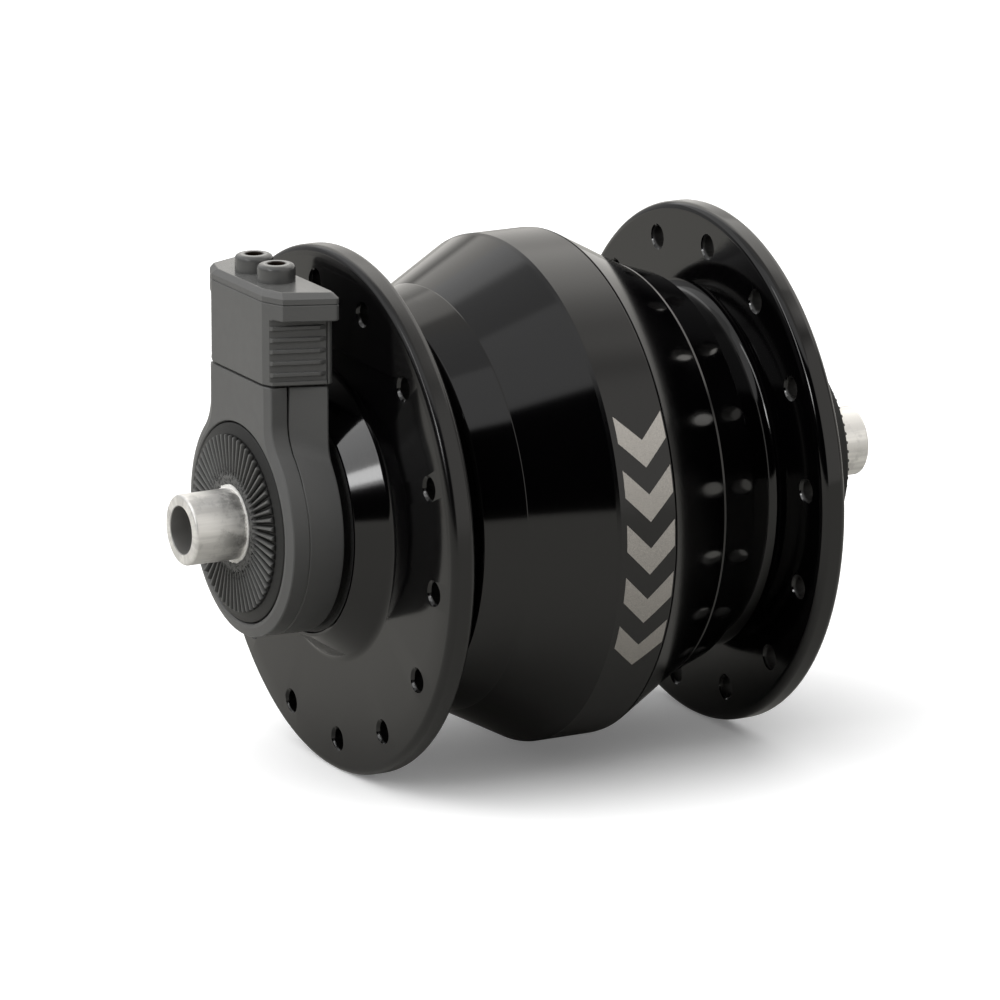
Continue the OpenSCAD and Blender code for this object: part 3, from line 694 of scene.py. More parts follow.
def rounded(corners, steps=6):
    """Points of an outline of (u, v, radius) corners, each rounded by an arc."""
    points = []
    for i, (u, v, radius) in enumerate(corners):
        here = Vector((u, v))
        before = Vector(corners[i - 1][:2]) - here
        after = Vector(corners[(i + 1) % len(corners)][:2]) - here
        half = before.angle(after) / 2
        room = 0.49 * min(before.length, after.length) * math.tan(half)
        radius = min(radius, room)
        if radius <= 0:
            points.append(here)
            continue
        before.normalize()
        after.normalize()
        middle = here + (before + after).normalized() * radius / math.sin(half)
        start = here + before * radius / math.tan(half) - middle
        end = here + after * radius / math.tan(half) - middle
        sweep = math.atan2(start.x * end.y - start.y * end.x, start.dot(end))
        for k in range(steps + 1):
            angle = sweep * k / steps
            points.append(middle + Matrix.Rotation(angle, 2) @ start)
    return [tuple(point) for point in points]


def turned(bm, outline, steps, closed=True):
    """Spins an outline of (radius, along) points round the axle."""
    verts = [bm.verts.new((r, y, 0)) for r, y in outline]
    pairs = list(zip(verts, verts[1:]))
    if closed:
        pairs.append((verts[-1], verts[0]))
    edges = [bm.edges.new(pair) for pair in pairs]
    bmesh.ops.spin(
        bm, geom=verts + edges, cent=CENTRE, axis=AXIS, dvec=CENTRE, angle=math.tau,
        steps=steps, use_merge=True, use_normal_flip=False, use_duplicate=False,
    )
    bmesh.ops.remove_doubles(bm, verts=bm.verts, dist=1e-7)
    bmesh.ops.recalc_face_normals(bm, faces=bm.faces)
    return bm


def lofted(bm, sections):
    """Joins closed outlines of as many points each, and closes both ends."""
    loops = []
    for section in sections:
        verts = [bm.verts.new(point) for point in section]
        loops.append([bm.edges.new(pair) for pair in zip(verts, verts[1:] + verts[:1])])
        if section in (sections[0], sections[-1]):
            bm.faces.new(verts)
    for first, second in zip(loops, loops[1:]):
        bmesh.ops.bridge_loops(bm, edges=first + second)
    bmesh.ops.recalc_face_normals(bm, faces=bm.faces)
    return bm


def box(bm, low, high):
    """A box between two corners."""
    size = Vector(high) - Vector(low)
    place = Matrix.Translation((Vector(high) + Vector(low)) / 2) @ Matrix.Diagonal((*size, 1))
    bmesh.ops.create_cube(bm, size=1, matrix=place)


def rod(bm, radius, place, start, end, steps=48, bevel=0.0):
    """An upright rod at (x, y) of place, between two heights."""
    matrix = Matrix.Translation((*place, (start + end) / 2))
    made = bmesh.ops.create_cone(
        bm, cap_ends=True, segments=steps, radius1=radius, radius2=radius,
        depth=end - start, matrix=matrix,
    )["verts"]
    if bevel:
        upper = {vert for vert in made if vert.co.z > (start + end) / 2}
        soften(bm, [edge for edge in bm.edges if upper.issuperset(edge.verts)], bevel, 6)


def soften(bm, edges, width, segments=2):
    """Rounds the given edges."""
    bmesh.ops.bevel(
        bm, geom=edges, offset=width, offset_type="OFFSET", affect="EDGES",
        segments=segments, profile=0.5, material=-1, clamp_overlap=True,
    )


def crease_edges(bm):
    """The edges where the surface turns by more than the crease's angle."""
    return [e for e in bm.edges if len(e.link_faces) == 2 and e.calc_face_angle(0) > CREASE]


def to_object(name, bm):
    """Makes an object of a mesh and links it to the scene."""
    mesh = bpy.data.meshes.new(name)
    bm.to_mesh(mesh)
    bm.free()
    made = bpy.data.objects.new(name, mesh)
    bpy.context.scene.collection.objects.link(made)
    return made


def combine(piece, tool_mesh, operation="DIFFERENCE"):
    """Cuts a closed mesh out of a piece, or adds it."""
    tool = to_object(piece.name + "_tool", tool_mesh)
    modifier = piece.modifiers.new("Cut", "BOOLEAN")
    modifier.operation = operation
    modifier.solver = "EXACT"
    modifier.object = tool
    settled = bpy.context.evaluated_depsgraph_get()
    mesh = bpy.data.meshes.new_from_object(piece.evaluated_get(settled))
    piece.modifiers.clear()
    piece.data = mesh
    bpy.data.objects.remove(tool)


def finish_piece(piece, material, body, nodes, sharp=SHARP):
    """Shades, paints and mounts a piece, which stands for the given nodes."""
    piece.data.materials.clear()
    piece.data.materials.append(material)
    piece.data.shade_smooth()
    piece.data.set_sharp_from_angle(angle=sharp)
    normals = piece.modifiers.new("Normals", "WEIGHTED_NORMAL")
    normals.keep_sharp = True
    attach(piece, body)
    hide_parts(*nodes)


# Hub shells


def shell_outline(hub, seam, band_edge):
    """Half section of a shell, from its seam outwards. The right one has no band, but a groove."""
    start = [(hub.band_r, seam, 0.15 * MM), (hub.band_r, band_edge, 0.12 * MM)]
    land = 0.1 * MM
    if band_edge < seam:
        groove_r = hub.band_r - 0.5 * MM
        gap = seam + 0.13 * MM
        start = [(groove_r, seam, 0), (groove_r, gap, 0), (hub.band_r, gap, 0.06 * MM)]
        land = 0.3 * MM
    shoulder_middle = hub.cone_end + 0.45 * (hub.drum_half - hub.cone_end)
    shoulder_r = hub.drum_end_r - hub.shoulder_fall * 0.44
    seat = hub.bearing_out + 0.2 * MM
    stop_r = hub.bearing_r - 1.7 * MM
    corners = [
        *start,
        (hub.drum_end_r, hub.cone_end, 0.12 * MM),
        (hub.drum_end_r - land * 0.17, hub.cone_end + land, 0.2 * MM),
        (shoulder_r, shoulder_middle, 4 * MM),
        (hub.drum_end_r - hub.shoulder_fall, hub.drum_half, 0.5 * MM),
        (hub.neck_r, hub.drum_half, 1.6 * MM),
        (hub.neck_r, hub.flange_in, 1.6 * MM),
        (hub.flange_r, hub.flange_in, 1.1 * MM),
        (hub.flange_r, hub.flange_out - hub.flange_fall, 0.95 * MM),
        (hub.hole_circle_r + 0.2 * MM, hub.flange_out, 0),
        (hub.boss_root_r, hub.flange_out, 1.3 * MM),
        (hub.boss_tip_r, hub.boss_end, 0.12 * MM),
        (hub.seal_r, hub.boss_end, 0),
        (hub.seal_r, seat, 0),
        (hub.bearing_r, seat, 0),
        (hub.bearing_r, hub.bearing_in, 0),
        (stop_r, hub.bearing_in, 0),
        (stop_r, hub.cavity_end, 0.5 * MM),
        (hub.cavity_r, hub.cavity_end, 2 * MM),
        (hub.cavity_r, hub.flux_half, 0),
        (hub.flux_r, hub.flux_half, 0),
        (hub.flux_r, seam, 0),
    ]
    return rounded(corners, 8)


def spoke_cutter(hub, turn):
    """Countersunk pins for the holes of one flange."""
    bm = bmesh.new()
    reach = 0.5 * MM
    low, high = hub.flange_in, hub.flange_out
    wide = hub.hole_r + hub.hole_sink
    outline = rounded([
        (0, low - reach, 0),
        (wide + reach, low - reach, 0),
        (wide, low, 0.1 * MM),
        (hub.hole_r, low + hub.hole_sink, 0.3 * MM),
        (hub.hole_r, high - hub.hole_sink, 0.3 * MM),
        (wide, high, 0.1 * MM),
        (wide + reach, high + reach, 0),
        (0, high + reach, 0),
    ], 3)
    turned(bm, outline, PIN_STEPS, closed=False)
    bmesh.ops.remove_doubles(bm, verts=bm.verts, dist=1e-6)
    bmesh.ops.translate(bm, vec=(hub.hole_circle_r, 0, 0), verts=bm.verts)
    bmesh.ops.rotate(bm, cent=CENTRE, matrix=Matrix.Rotation(-turn, 3, "Y"), verts=bm.verts)
    bmesh.ops.spin(
        bm, geom=bm.verts[:] + bm.edges[:] + bm.faces[:], cent=CENTRE, axis=AXIS, dvec=CENTRE,
        angle=math.tau, steps=hub.hole_count,
        use_duplicate=True, use_merge=False, use_normal_flip=False,
    )
    bmesh.ops.remove_doubles(bm, verts=bm.verts, dist=1e-6)
    return bm


def onto_end(bm, side):
    """Keeps a mesh at the right end, or mirrors it to the left one, with its faces outwards."""
    if side < 0:
        bmesh.ops.scale(bm, vec=(1, -1, 1), verts=bm.verts)
    bmesh.ops.recalc_face_normals(bm, faces=bm.faces)
    return bm


def shell(name, side, seam, band_edge, turn):
    """One hub shell, with its spoke holes cut."""
    hub = bpy.context.scene.hub_sizes
    bm = turned(bmesh.new(), shell_outline(hub, seam, band_edge), SHELL_STEPS)
    piece = to_object(name, onto_end(bm, side))
    combine(piece, onto_end(spoke_cutter(hub, turn), side))
    return piece


class HUB_OT_left_shell(bpy.types.Operator):
    """Builds the left hub shell, with the band and its marks"""

    bl_idname = "hub.left_shell"
    bl_label = "Left shell"

    def execute(self, context):
        hub = context.scene.hub_sizes
        piece = shell("left_shell", -1, -hub.seam, hub.band_edge, hub.hole_turn)
        finish_piece(piece, banded_black(), "hub_body", ["left_hub_shell"])
        return {"FINISHED"}


class HUB_OT_right_shell(bpy.types.Operator):
    """Builds the right hub shell"""

    bl_idname = "hub.right_shell"
    bl_label = "Right shell"

    def execute(self, context):
        hub = context.scene.hub_sizes
        turn = hub.hole_turn + math.pi / hub.hole_count
        piece = shell("right_shell", 1, hub.seam, 0, turn)
        finish_piece(piece, anodised_black(), "hub_body", ["right_hub_shell"])
        return {"FINISHED"}


class HUB_OT_seals(bpy.types.Operator):
    """Builds the rubber seal on the left and the dust cap on the right"""

    bl_idname = "hub.seals"
    bl_label = "Seals"

    def execute(self, context):
        hub = context.scene.hub_sizes
        outer = hub.seal_r - 0.05 * MM
        inner = context.scene.axle_sizes.shaft_r + 3 * MM
        end = hub.boss_end - 0.1 * MM
        seat = hub.bearing_out + 0.2 * MM
        web = 1.2 * MM
        web_r = outer - web
        sunk = end - 0.25 * MM
        piece = to_object("left_seal", turned(bmesh.new(), rounded([
            (inner, web - end, 0.2 * MM),
            (web_r, web - end, 0.2 * MM),
            (web_r, -seat, 0),
            (outer, -seat, 0),
            (outer, -end, 0.25 * MM),
            (outer - 0.9 * MM, -end, 0.2 * MM),
            (outer - 1.1 * MM, -sunk, 0.2 * MM),
            (inner + 2 * MM, -sunk, 0.2 * MM),
            (inner, -end, 0.3 * MM),
        ]), RING_STEPS))
        finish_piece(piece, seal_rubber(), "hub_body", ["left_dust_seal"])
        sunk = end - 0.4 * MM
        piece = to_object("right_cap", turned(bmesh.new(), rounded([
            (inner, end - web, 0),
            (web_r, end - web, 0.2 * MM),
            (web_r, seat, 0),
            (outer, seat, 0),
            (outer, end, 0.3 * MM),
            (outer - 2.4 * MM, end, 0.3 * MM),
            (outer - 2.8 * MM, sunk, 0.3 * MM),
            (inner + 0.4 * MM, sunk, 0.3 * MM),
            (inner, end - 0.7 * MM, 0.2 * MM),
        ]), RING_STEPS))
        finish_piece(piece, anodised_black(), "hub_body", ["right_dust_cap"])
        return {"FINISHED"}


# Axle and locknuts


class HUB_OT_axle(bpy.types.Operator):
    """Builds the hollow axle with its bare ends and the torn edge of each thread"""

    bl_idname = "hub.axle"
    bl_label = "Axle"

    def execute(self, context):
        axle = context.scene.axle_sizes
        face = axle.face - 0.45 * MM
        thread_r = axle.thread_r - 0.1 * MM
        half_outline = [
            (axle.bore_r, axle.half, 0.12 * MM),
            (axle.stub_r, axle.half, 0.4 * MM),
            (axle.stub_r, face, 0.1 * MM),
            (thread_r, face, 0.1 * MM),
            (thread_r, axle.thread_start, 0),
            (axle.shaft_r, axle.thread_start, 0.1 * MM),
        ]
        other_half = [(r, -y, q) for r, y, q in reversed(half_outline)]
        bm = turned(bmesh.new(), rounded(half_outline + other_half), AXLE_STEPS)
        piece = to_object("axle_shaft", bm)
        finish_piece(piece, bare_alloy(), "axle_assembly", ["axle"])
        low, high = axle.face - 0.5 * MM, axle.face + 0.1 * MM
        inner, outer = axle.stub_r - 0.05 * MM, axle.lip_r
        rows = 6
        top = [(outer + (inner - outer) * k / rows, high) for k in range(rows + 1)]
        outline = [(inner, low), (outer, low), *top]
        for name, side in (("left_thread_edge", -1), ("right_thread_edge", 1)):
            bm = turned(bmesh.new(), outline, EDGE_STEPS)
            tear(bm, axle)
            edge = to_object(name, onto_end(bm, side))
            finish_piece(edge, ragged_alloy(), "axle_assembly", [], RAGGED)
        return {"FINISHED"}


def tear(bm, axle):
    """Makes the thread's end uneven, as a die leaves it."""
    fineness = 2400
    rise, spread = 0.12 * MM, 0.17 * MM
    for vert in bm.verts:
        if vert.co.y < axle.face:
            continue
        place = vert.co * fineness
        vert.co.y += rise * (noise.noise(place) - 0.5)
        if vert.co.xz.length > axle.lip_r - 0.1 * MM:
            flat = Vector((vert.co.x, 0, vert.co.z)).normalized()
            vert.co += flat * spread * (noise.noise(place * 1.3) - 0.3)


def ridged(bm, axle):
    """Presses the grooves into a locknut's face, running out towards the axle."""
    pitch = math.tau / axle.ridge_count
    crest, flank = 0.13, 0.22
    run_out = 0.7 * MM
    for vert in bm.verts:
        radius = vert.co.xz.length
        if vert.co.y < axle.face - 0.1 * MM or radius > axle.ridge_r + 0.01 * MM:
            continue
        share = abs((math.atan2(vert.co.z, vert.co.x) / pitch) % 1 - 0.5)
        groove = min(1, max(0, (share - crest) / flank))
        start = min(1, max(0, (radius - axle.land_r) / run_out))
        vert.co.y -= axle.ridge_depth * groove * start


def locknut(name, side):
    """A locknut: serrated face, smooth cone round it, flange and neck."""
    axle = bpy.context.scene.axle_sizes
    foot = axle.face - axle.ridge_depth - 0.06 * MM
    lip = axle.face - 0.4 * MM
    bore = axle.thread_r + 0.03 * MM
    land_r = axle.land_r
    rows = (land_r, land_r + 0.35 * MM, land_r + 0.7 * MM, axle.ridge_r - 0.12 * MM)
    outline = rounded([
        *((r, axle.face, 0) for r in rows),
        (axle.ridge_r, axle.face - 0.08 * MM, 0),
        (axle.ridge_r, foot, 0),
        (axle.nut_r, axle.nut_rim, 0.25 * MM),
        (axle.nut_r, axle.nut_flange, 0.15 * MM),
        (axle.neck_r, axle.nut_flange, 0.1 * MM),
        (axle.neck_r, axle.nut_back, 0.15 * MM),
        (bore, axle.nut_back, 0),
        (bore, lip, 0),
        (axle.lip_r, lip, 0),
        (axle.lip_r, axle.face, 0.1 * MM),
    ], 4)
    bm = turned(bmesh.new(), outline, axle.ridge_count * STEPS_PER_RIDGE)
    ridged(bm, axle)
    return to_object(name, onto_end(bm, side))


class HUB_OT_locknuts(bpy.types.Operator):
    """Builds the two serrated locknuts"""

    bl_idname = "hub.locknuts"
    bl_label = "Locknuts"

    def execute(self, context):
        axle = context.scene.axle_sizes
        for end, side in (("left", -1), ("right", 1)):
            piece = locknut(f"{end}_nut", side)
            node = f"{end}_locknut"
            finish_piece(piece, serrated_black(), "axle_assembly", [node])
        inner, outer = axle.shaft_r + 0.03 * MM, axle.shaft_r + 2.5 * MM
        start, end = context.scene.hub_sizes.bearing_out, axle.nut_back
        outline = [(inner, start), (outer, start), (outer, end), (inner, end)]
        bm = turned(bmesh.new(), outline, SPACER_STEPS)
        soften(bm, crease_edges(bm), 0.15 * MM)
        piece = to_object("right_spacer", bm)
        node = "right_outer_spacer"
        finish_piece(piece, serrated_black(), "axle_assembly", [node])
        return {"FINISHED"}


# Connector


def housing_outline(size, half, radius, top):
    """Outline in XZ of a round part with a tower, joined by hollows."""
    hollow = size.hollow_r
    middle = half + hollow
    height = math.sqrt((radius + hollow) ** 2 - middle ** 2)
    meet = math.atan2(height, middle)
    corner, cut = 0.45 * MM, 0.12 * MM
    hollow_steps, round_steps = 16, 64
    right = [(half - corner, top), (half - cut, top - cut), (half, top - corner)]
    for k in range(hollow_steps + 1):
        turn = math.pi + meet * k / hollow_steps
        right.append((middle + hollow * math.cos(turn), height + hollow * math.sin(turn)))
    for k in range(1, round_steps + 1):
        turn = meet - (meet + math.pi / 2) * k / round_steps
        right.append((radius * math.cos(turn), radius * math.sin(turn)))
    return right + [(-x, z) for x, z in reversed(right[:-1])]


def housing_section(size, along, half, radius, inset=0.0):
    """The housing's outline at a place along the axle, drawn in by the inset."""
    outline = housing_outline(size, half - inset, radius - inset, size.top - inset)
    return [(x, along, z) for x, z in outline]


def tower_half(size, along):
    """Half width of the tower's flared side at a place along the axle."""
    share = max(0, (along + size.parting) / (size.parting - size.back))
    return size.tower_front + (size.tower_back - size.tower_front) * share


def parting_gap(size, side):
    """The wedge by which the two halves stand apart down the tower's side."""
    near, far = side * (size.tower_front - 1.2 * MM), side * (size.round_r + 2 * MM)
    start = -size.parting - 0.1 * MM
    widths = (
        (7 * MM, 0.14 * MM),
        (size.top - 5 * MM, 0.26 * MM),
        (size.top + 0.5 * MM, 0.42 * MM),
    )
    sections = []
    for height, wide in widths:
        end = start + wide
        corners = ((near, start), (far, start), (far, end), (near, end))
        sections.append([(x, y, height) for x, y in corners])
    return lofted(bmesh.new(), sections)


def contact_slots(size, half_width, half_depth, low, high):
    """Boxes for the two contacts, below the wire outlets."""
    bm = bmesh.new()
    for side in (-1, 1):
        x, y = side * size.outlet_x, size.outlet_y
        box(bm, (x - half_width, y - half_depth, low), (x + half_width, y + half_depth, high))
    return bm


def wire_bores(size, radius, low, high):
    """Pins for the two wire holes."""
    bm = bmesh.new()
    for side in (-1, 1):
        rod(bm, radius, (side * size.outlet_x, size.outlet_y), low, high)
    return bm


class HUB_OT_connector(bpy.types.Operator):
    """Builds the two halves of the connector housing"""

    bl_idname = "hub.connector"
    bl_label = "Connector housing"
    edge = 0.12 * MM
    play = 0.15 * MM

    def execute(self, context):
        size = context.scene.connector_sizes
        axle = context.scene.axle_sizes
        self.build("front", self.front_sections(size), self.front_hole(size, axle))
        slots = contact_slots(size, 1.05 * MM, 0.45 * MM, size.top - 3 * MM, size.top + 1 * MM)
        gaps = [parting_gap(size, side) for side in (-1, 1)]
        self.build("back", self.back_sections(size), self.back_hole(size, axle), slots, *gaps)
        return {"FINISHED"}

    def build(self, half, sections, *cuts):
        """One half of the housing, with what is cut out of it."""
        piece = to_object(f"housing_{half}", lofted(bmesh.new(), sections))
        for cut in cuts:
            combine(piece, cut)
        node = f"connector_{half}"
        finish_piece(piece, housing_plastic(), "axle_assembly", [node])

    def front_sections(self, size):
        """The front half: chamfered face, rim, and the side up to the parting line."""
        front, parting = -size.front, -size.parting
        half, radius, edge = size.tower_front, size.round_r, self.edge
        rim = front + size.chamfer * 0.45
        face_half, face_r = half - size.chamfer, radius - size.chamfer
        at_parting = tower_half(size, parting)
        return [
            housing_section(size, front, face_half - edge, face_r - edge),
            housing_section(size, front + edge * 0.5, face_half, face_r),
            housing_section(size, rim - edge * 0.7, half - edge * 0.8, radius - edge * 0.8),
            housing_section(size, rim + edge * 0.7, half + edge * 0.1, radius),
            housing_section(size, parting - edge, at_parting, radius),
            housing_section(size, parting, at_parting, radius, edge),
        ]

    def back_sections(self, size):
        """The back half: from the parting line to the rounded back edge."""
        parting, back = -size.parting, -size.back
        half, radius = size.tower_back, size.round_r + 0.1 * MM
        at_parting = tower_half(size, parting)
        return [
            housing_section(size, parting, at_parting, size.round_r, self.edge),
            housing_section(size, parting + self.edge, at_parting, size.round_r),
            housing_section(size, back - 0.3 * MM, half, radius),
            housing_section(size, back - 0.09 * MM, half, radius, 0.09 * MM),
            housing_section(size, back, half, radius, 0.3 * MM),
        ]

    def front_hole(self, size, axle):
        """The room for the locknut and its neck, with a bevelled mouth."""
        mouth = 1.15 * MM
        start, end = -size.front - 1 * MM, 1 * MM - size.parting
        step = 0.05 * MM - axle.nut_flange
        neck = axle.neck_r + self.play
        return turned(bmesh.new(), rounded([
            (0, start, 0),
            (size.hole_r + mouth, start, 0),
            (size.hole_r, start + mouth, 0.1 * MM),
            (size.hole_r, step, 0),
            (neck, step, 0),
            (neck, end, 0),
            (0, end, 0),
        ], 3), RING_STEPS, closed=False)

    def back_hole(self, size, axle):
        """The room for the locknut's neck and the axle."""
        start, end = -size.parting - 1 * MM, 1 * MM - size.back
        neck, shaft = axle.neck_r + self.play, axle.shaft_r + 0.05 * MM
        outline = [
            (0, start), (neck, start), (neck, -axle.nut_back),
            (shaft, -axle.nut_back), (shaft, end), (0, end),
        ]
        return turned(bmesh.new(), outline, RING_STEPS, closed=False)


def plug_plan(size, side_half, side_y, back_half, inset=0.0):
    """Outline in XY of the plug or its ledge, narrower at the front."""
    places = (
        (size.plug_front_half - inset, inset * 0.7 - size.front, 0.25 * MM),
        (side_half - inset, inset * 0.3 - side_y, 0.2 * MM),
        (back_half - inset, -size.plug_back - inset * 0.7, 0.5 * MM),
    )
    return rounded([*((-x, y, q) for x, y, q in places), *reversed(places)], 5)


def body_plan(size, inset=0.0):
    """Outline of the plug's body."""
    return plug_plan(size, size.plug_side_half, size.plug_side_y, size.plug_back_half, inset)


def ledge_plan(size, inset=0.0):
    """Outline of the thumb ledge and the cap."""
    return plug_plan(size, size.ledge_side_half, size.ledge_side_y, size.ledge_back_half, inset)


def prism(plans):
    """A loft of plans at heights: each is (plan, height)."""
    return lofted(bmesh.new(), [[(x, y, height) for x, y in plan] for plan, height in plans])


def onto_side(bm, size, side):
    """Turns a mesh, with its length along Y and its depth along X, onto the plug's side."""
    run = size.plug_side_y - size.plug_back
    slant = math.atan2(size.plug_back_half - size.plug_side_half, run)
    bmesh.ops.rotate(bm, cent=CENTRE, matrix=Matrix.Rotation(-slant, 3, "Z"), verts=bm.verts)
    bmesh.ops.translate(bm, vec=(size.plug_side_half, -size.plug_side_y, 0), verts=bm.verts)
    if side < 0:
        bmesh.ops.scale(bm, vec=(-1, 1, 1), verts=bm.verts)
    bmesh.ops.recalc_face_normals(bm, faces=bm.faces)
    return bm


def grip_cut(size, side, depth, start, low):
    """What is taken off the plug's side, down to a depth, from a place behind the front edge."""
    bm = bmesh.new()
    high = size.ledge_bottom - 0.05 * MM
    box(bm, (-depth, start, low), (3 * MM, size.grip_end, high))
    return onto_side(bm, size, side)


def grip_field(size, side):
    """The field that the ribs stand in."""
    return grip_cut(size, side, size.rib_height, -2 * MM, size.plug_bottom + 0.5 * MM)


def grip_groove(size, side):
    """The narrow upright groove behind the ribs."""
    depth = size.rib_height + 0.3 * MM
    start = size.grip_end - 0.15 * MM
    return grip_cut(size, side, depth, start, size.plug_bottom - 1 * MM)


def grip_ribs(size, side):
    """The ribs of one grip, with rounded edges and a slanting end in front and behind."""
    middle = (size.plug_bottom + size.ledge_bottom + 0.25 * MM) / 2
    sunk = -size.rib_height - 0.2 * MM
    crest = -0.02 * MM
    half_crest, half_foot = 0.23 * MM, 0.3 * MM
    end = 6.75 * MM
    profile = (
        (sunk, 0.86 * sunk, half_foot),
        (crest, 0.05 * MM, half_crest),
        (crest, 5.95 * MM, half_crest),
        (crest - size.rib_height, end, half_foot),
        (sunk, end, half_foot),
    )
    free = sunk + 0.01 * MM
    bm = bmesh.new()
    for k in range(size.rib_count):
        centre = middle + (k - (size.rib_count - 1) / 2) * size.rib_pitch
        rib = lofted(bmesh.new(), [
            [(x, y, centre + up * half) for x, y, half in profile] for up in (-1, 1)
        ])
        edges = [e for e in crease_edges(rib) if min(v.co.x for v in e.verts) > free]
        soften(rib, edges, 0.09 * MM, 3)
        onto_side(rib, size, side)
        scrap = bpy.data.meshes.new("rib")
        rib.to_mesh(scrap)
        rib.free()
        bm.from_mesh(scrap)
        bpy.data.meshes.remove(scrap)
    return bm


class HUB_OT_plug(bpy.types.Operator):
    """Builds the plug with its thumb ledge and ribbed grips"""

    bl_idname = "hub.plug"
    bl_label = "Plug"

    def execute(self, context):
        size = context.scene.connector_sizes
        edge = 0.12 * MM
        body, ledge = body_plan(size), ledge_plan(size)
        ledge_edge = ledge_plan(size, edge)
        piece = to_object("plug_shell", prism([
            (body_plan(size, edge), size.plug_bottom),
            (body, size.plug_bottom + edge),
            (body, size.cap_joint - 0.5 * MM),
        ]))
        for side in (-1, 1):
            combine(piece, grip_field(size, side))
            combine(piece, grip_groove(size, side))
        combine(piece, prism([
            (ledge_edge, size.ledge_bottom),
            (ledge, size.ledge_bottom + edge),
            (ledge, size.cap_joint - edge),
            (ledge_edge, size.cap_joint),
        ]), "UNION")
        low, high = size.plug_bottom - 1 * MM, size.contact_top + 0.6 * MM
        combine(piece, contact_slots(size, 1.55 * MM, 0.95 * MM, low, high))
        bore_r = size.wire_hole_r + 0.05 * MM
        combine(piece, wire_bores(size, bore_r, size.contact_top, size.cap_joint + 1 * MM))
        finish_piece(piece, plug_plastic(), "plug", ["plug_body"])
        for name, side in (("right_ribs", 1), ("left_ribs", -1)):
            ribs = to_object(name, grip_ribs(size, side))
            finish_piece(ribs, plug_plastic(), "plug", [])
        return {"FINISHED"}


class HUB_OT_cap(bpy.types.Operator):
    """Builds the plug's cap with its two wire outlets"""

    bl_idname = "hub.cap"
    bl_label = "Plug cap"

    def execute(self, context):
        size = context.scene.connector_sizes
        edge = 0.1 * MM
        joint = size.cap_joint
        side_top = joint + size.cap_side
        top = side_top + size.cap_bevel
        mouth = top + size.outlet_h
        plan, plan_edge = ledge_plan(size), ledge_plan(size, edge)
        piece = to_object("plug_lid", prism([
            (plan_edge, joint + 0.04 * MM),
            (plan, joint + edge),
            (plan, side_top - edge),
            (plan_edge, side_top),
            (ledge_plan(size, size.cap_inset - edge), top - edge * 0.6),
            (ledge_plan(size, size.cap_inset + edge), top),
        ]))
        for side in (-1, 1):
            boss = bmesh.new()
            place = (side * size.outlet_x, size.outlet_y)
            rod(boss, size.outlet_r, place, top - 0.3 * MM, mouth, 64, 0.62 * MM)
            combine(piece, boss, "UNION")
            combine(piece, self.leg(joint, side), "UNION")
        combine(piece, wire_bores(size, size.wire_hole_r, joint - 1 * MM, mouth + 1 * MM))
        combine(piece, self.flares(size, mouth))
        finish_piece(piece, plug_plastic(), "cap", ["plug_cap"])
        return {"FINISHED"}

    def leg(self, joint, side):
        """A leg that snaps into the plug."""
        x, half = side * 5.9 * MM, 0.6 * MM
        front, back = -36.65 * MM, -33.65 * MM
        bm = bmesh.new()
        box(bm, (x - half, front, joint - 2.8 * MM), (x + half, back, joint + 0.2 * MM))
        return bm

    def flares(self, size, mouth):
        """Cones that widen the mouths of the wire outlets."""
        bm = bmesh.new()
        for side in (-1, 1):
            bmesh.ops.create_cone(
                bm, cap_ends=True, segments=48, depth=0.6 * MM,
                radius1=size.wire_hole_r - 0.2 * MM, radius2=size.wire_hole_r + 0.4 * MM,
                matrix=Matrix.Translation((side * size.outlet_x, size.outlet_y, mouth)),
            )
        return bm


# Pieces inside

# By slot: the material's name, its colour and how much lighter it is, roughness and metallic
INNER_FINISHES = {
    "core_steel": ("raw_steel", "steel", 1.0, 0.34, 1.0),
    "nut_steel": ("plated_steel", "steel", 1.2, 0.22, 1.0),
    "bearing_steel": ("bearing_steel", "steel", 1.35, 0.08, 1.0),
    "cage_brass": ("cage_brass", "brass", 0.85, 0.3, 1.0),
    "contact_brass": ("contact_brass", "brass", 1.0, 0.18, 1.0),
    "magnet": ("magnet_nickel", "magnet", 1.0, 0.28, 0.9),
    "bobbin_nylon": ("bobbin_nylon", "nylon", 1.0, 0.45, 0.0),
    "wire_insulation": ("wire_insulation", "wire", 1.0, 0.35, 0.0),
}
OTHER_FINISHES = {
    "winding_copper": wound_copper,
    "seal_rubber": seal_rubber,
    "nut_black": serrated_black,
}


class HUB_OT_inside(bpy.types.Operator):
    """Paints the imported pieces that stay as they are"""

    bl_idname = "hub.inside"
    bl_label = "Inner pieces"

    def execute(self, context):
        slots = {part["node"]: part["material_slot"] for part in frame["record"]["subparts"]}
        for name, node in frame["nodes"].items():
            if not node.hide_render:
                node.data.materials.clear()
                node.data.materials.append(self.finish(context, slots[name]))
        return {"FINISHED"}

    def finish(self, context, slot):
        """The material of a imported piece, by its slot."""
        if slot in INNER_FINISHES:
            name, colour_name, factor, rough, metallic = INNER_FINISHES[slot]
            tone = shade(getattr(context.scene.finishes, colour_name), factor)
            return machined(name, tone, rough, metallic)
        return OTHER_FINISHES[slot]()


# Stage

WHITE, BLACK = (1, 1, 1), (0, 0, 0)
FLOOR_TONE = {"soft": (0.24, 0.24, 0.23), "mirrored": (0.47, 0.46, 0.43)}
FLOOR_LIFT = 0.135
# Azimuth and elevation in degrees, distance, width and height, power in watts, roll in degrees
LAMPS = {
    "key_strip": (13, 36, 1.2, 0.97, 0.2, 2.2, -47),
    "key_spot": (27, 26, 1.2, 0.18, 0.15, 0.8, -47),
}
SOFT_LIGHT = {"overhead": 2.45, "from_left": 2.75}
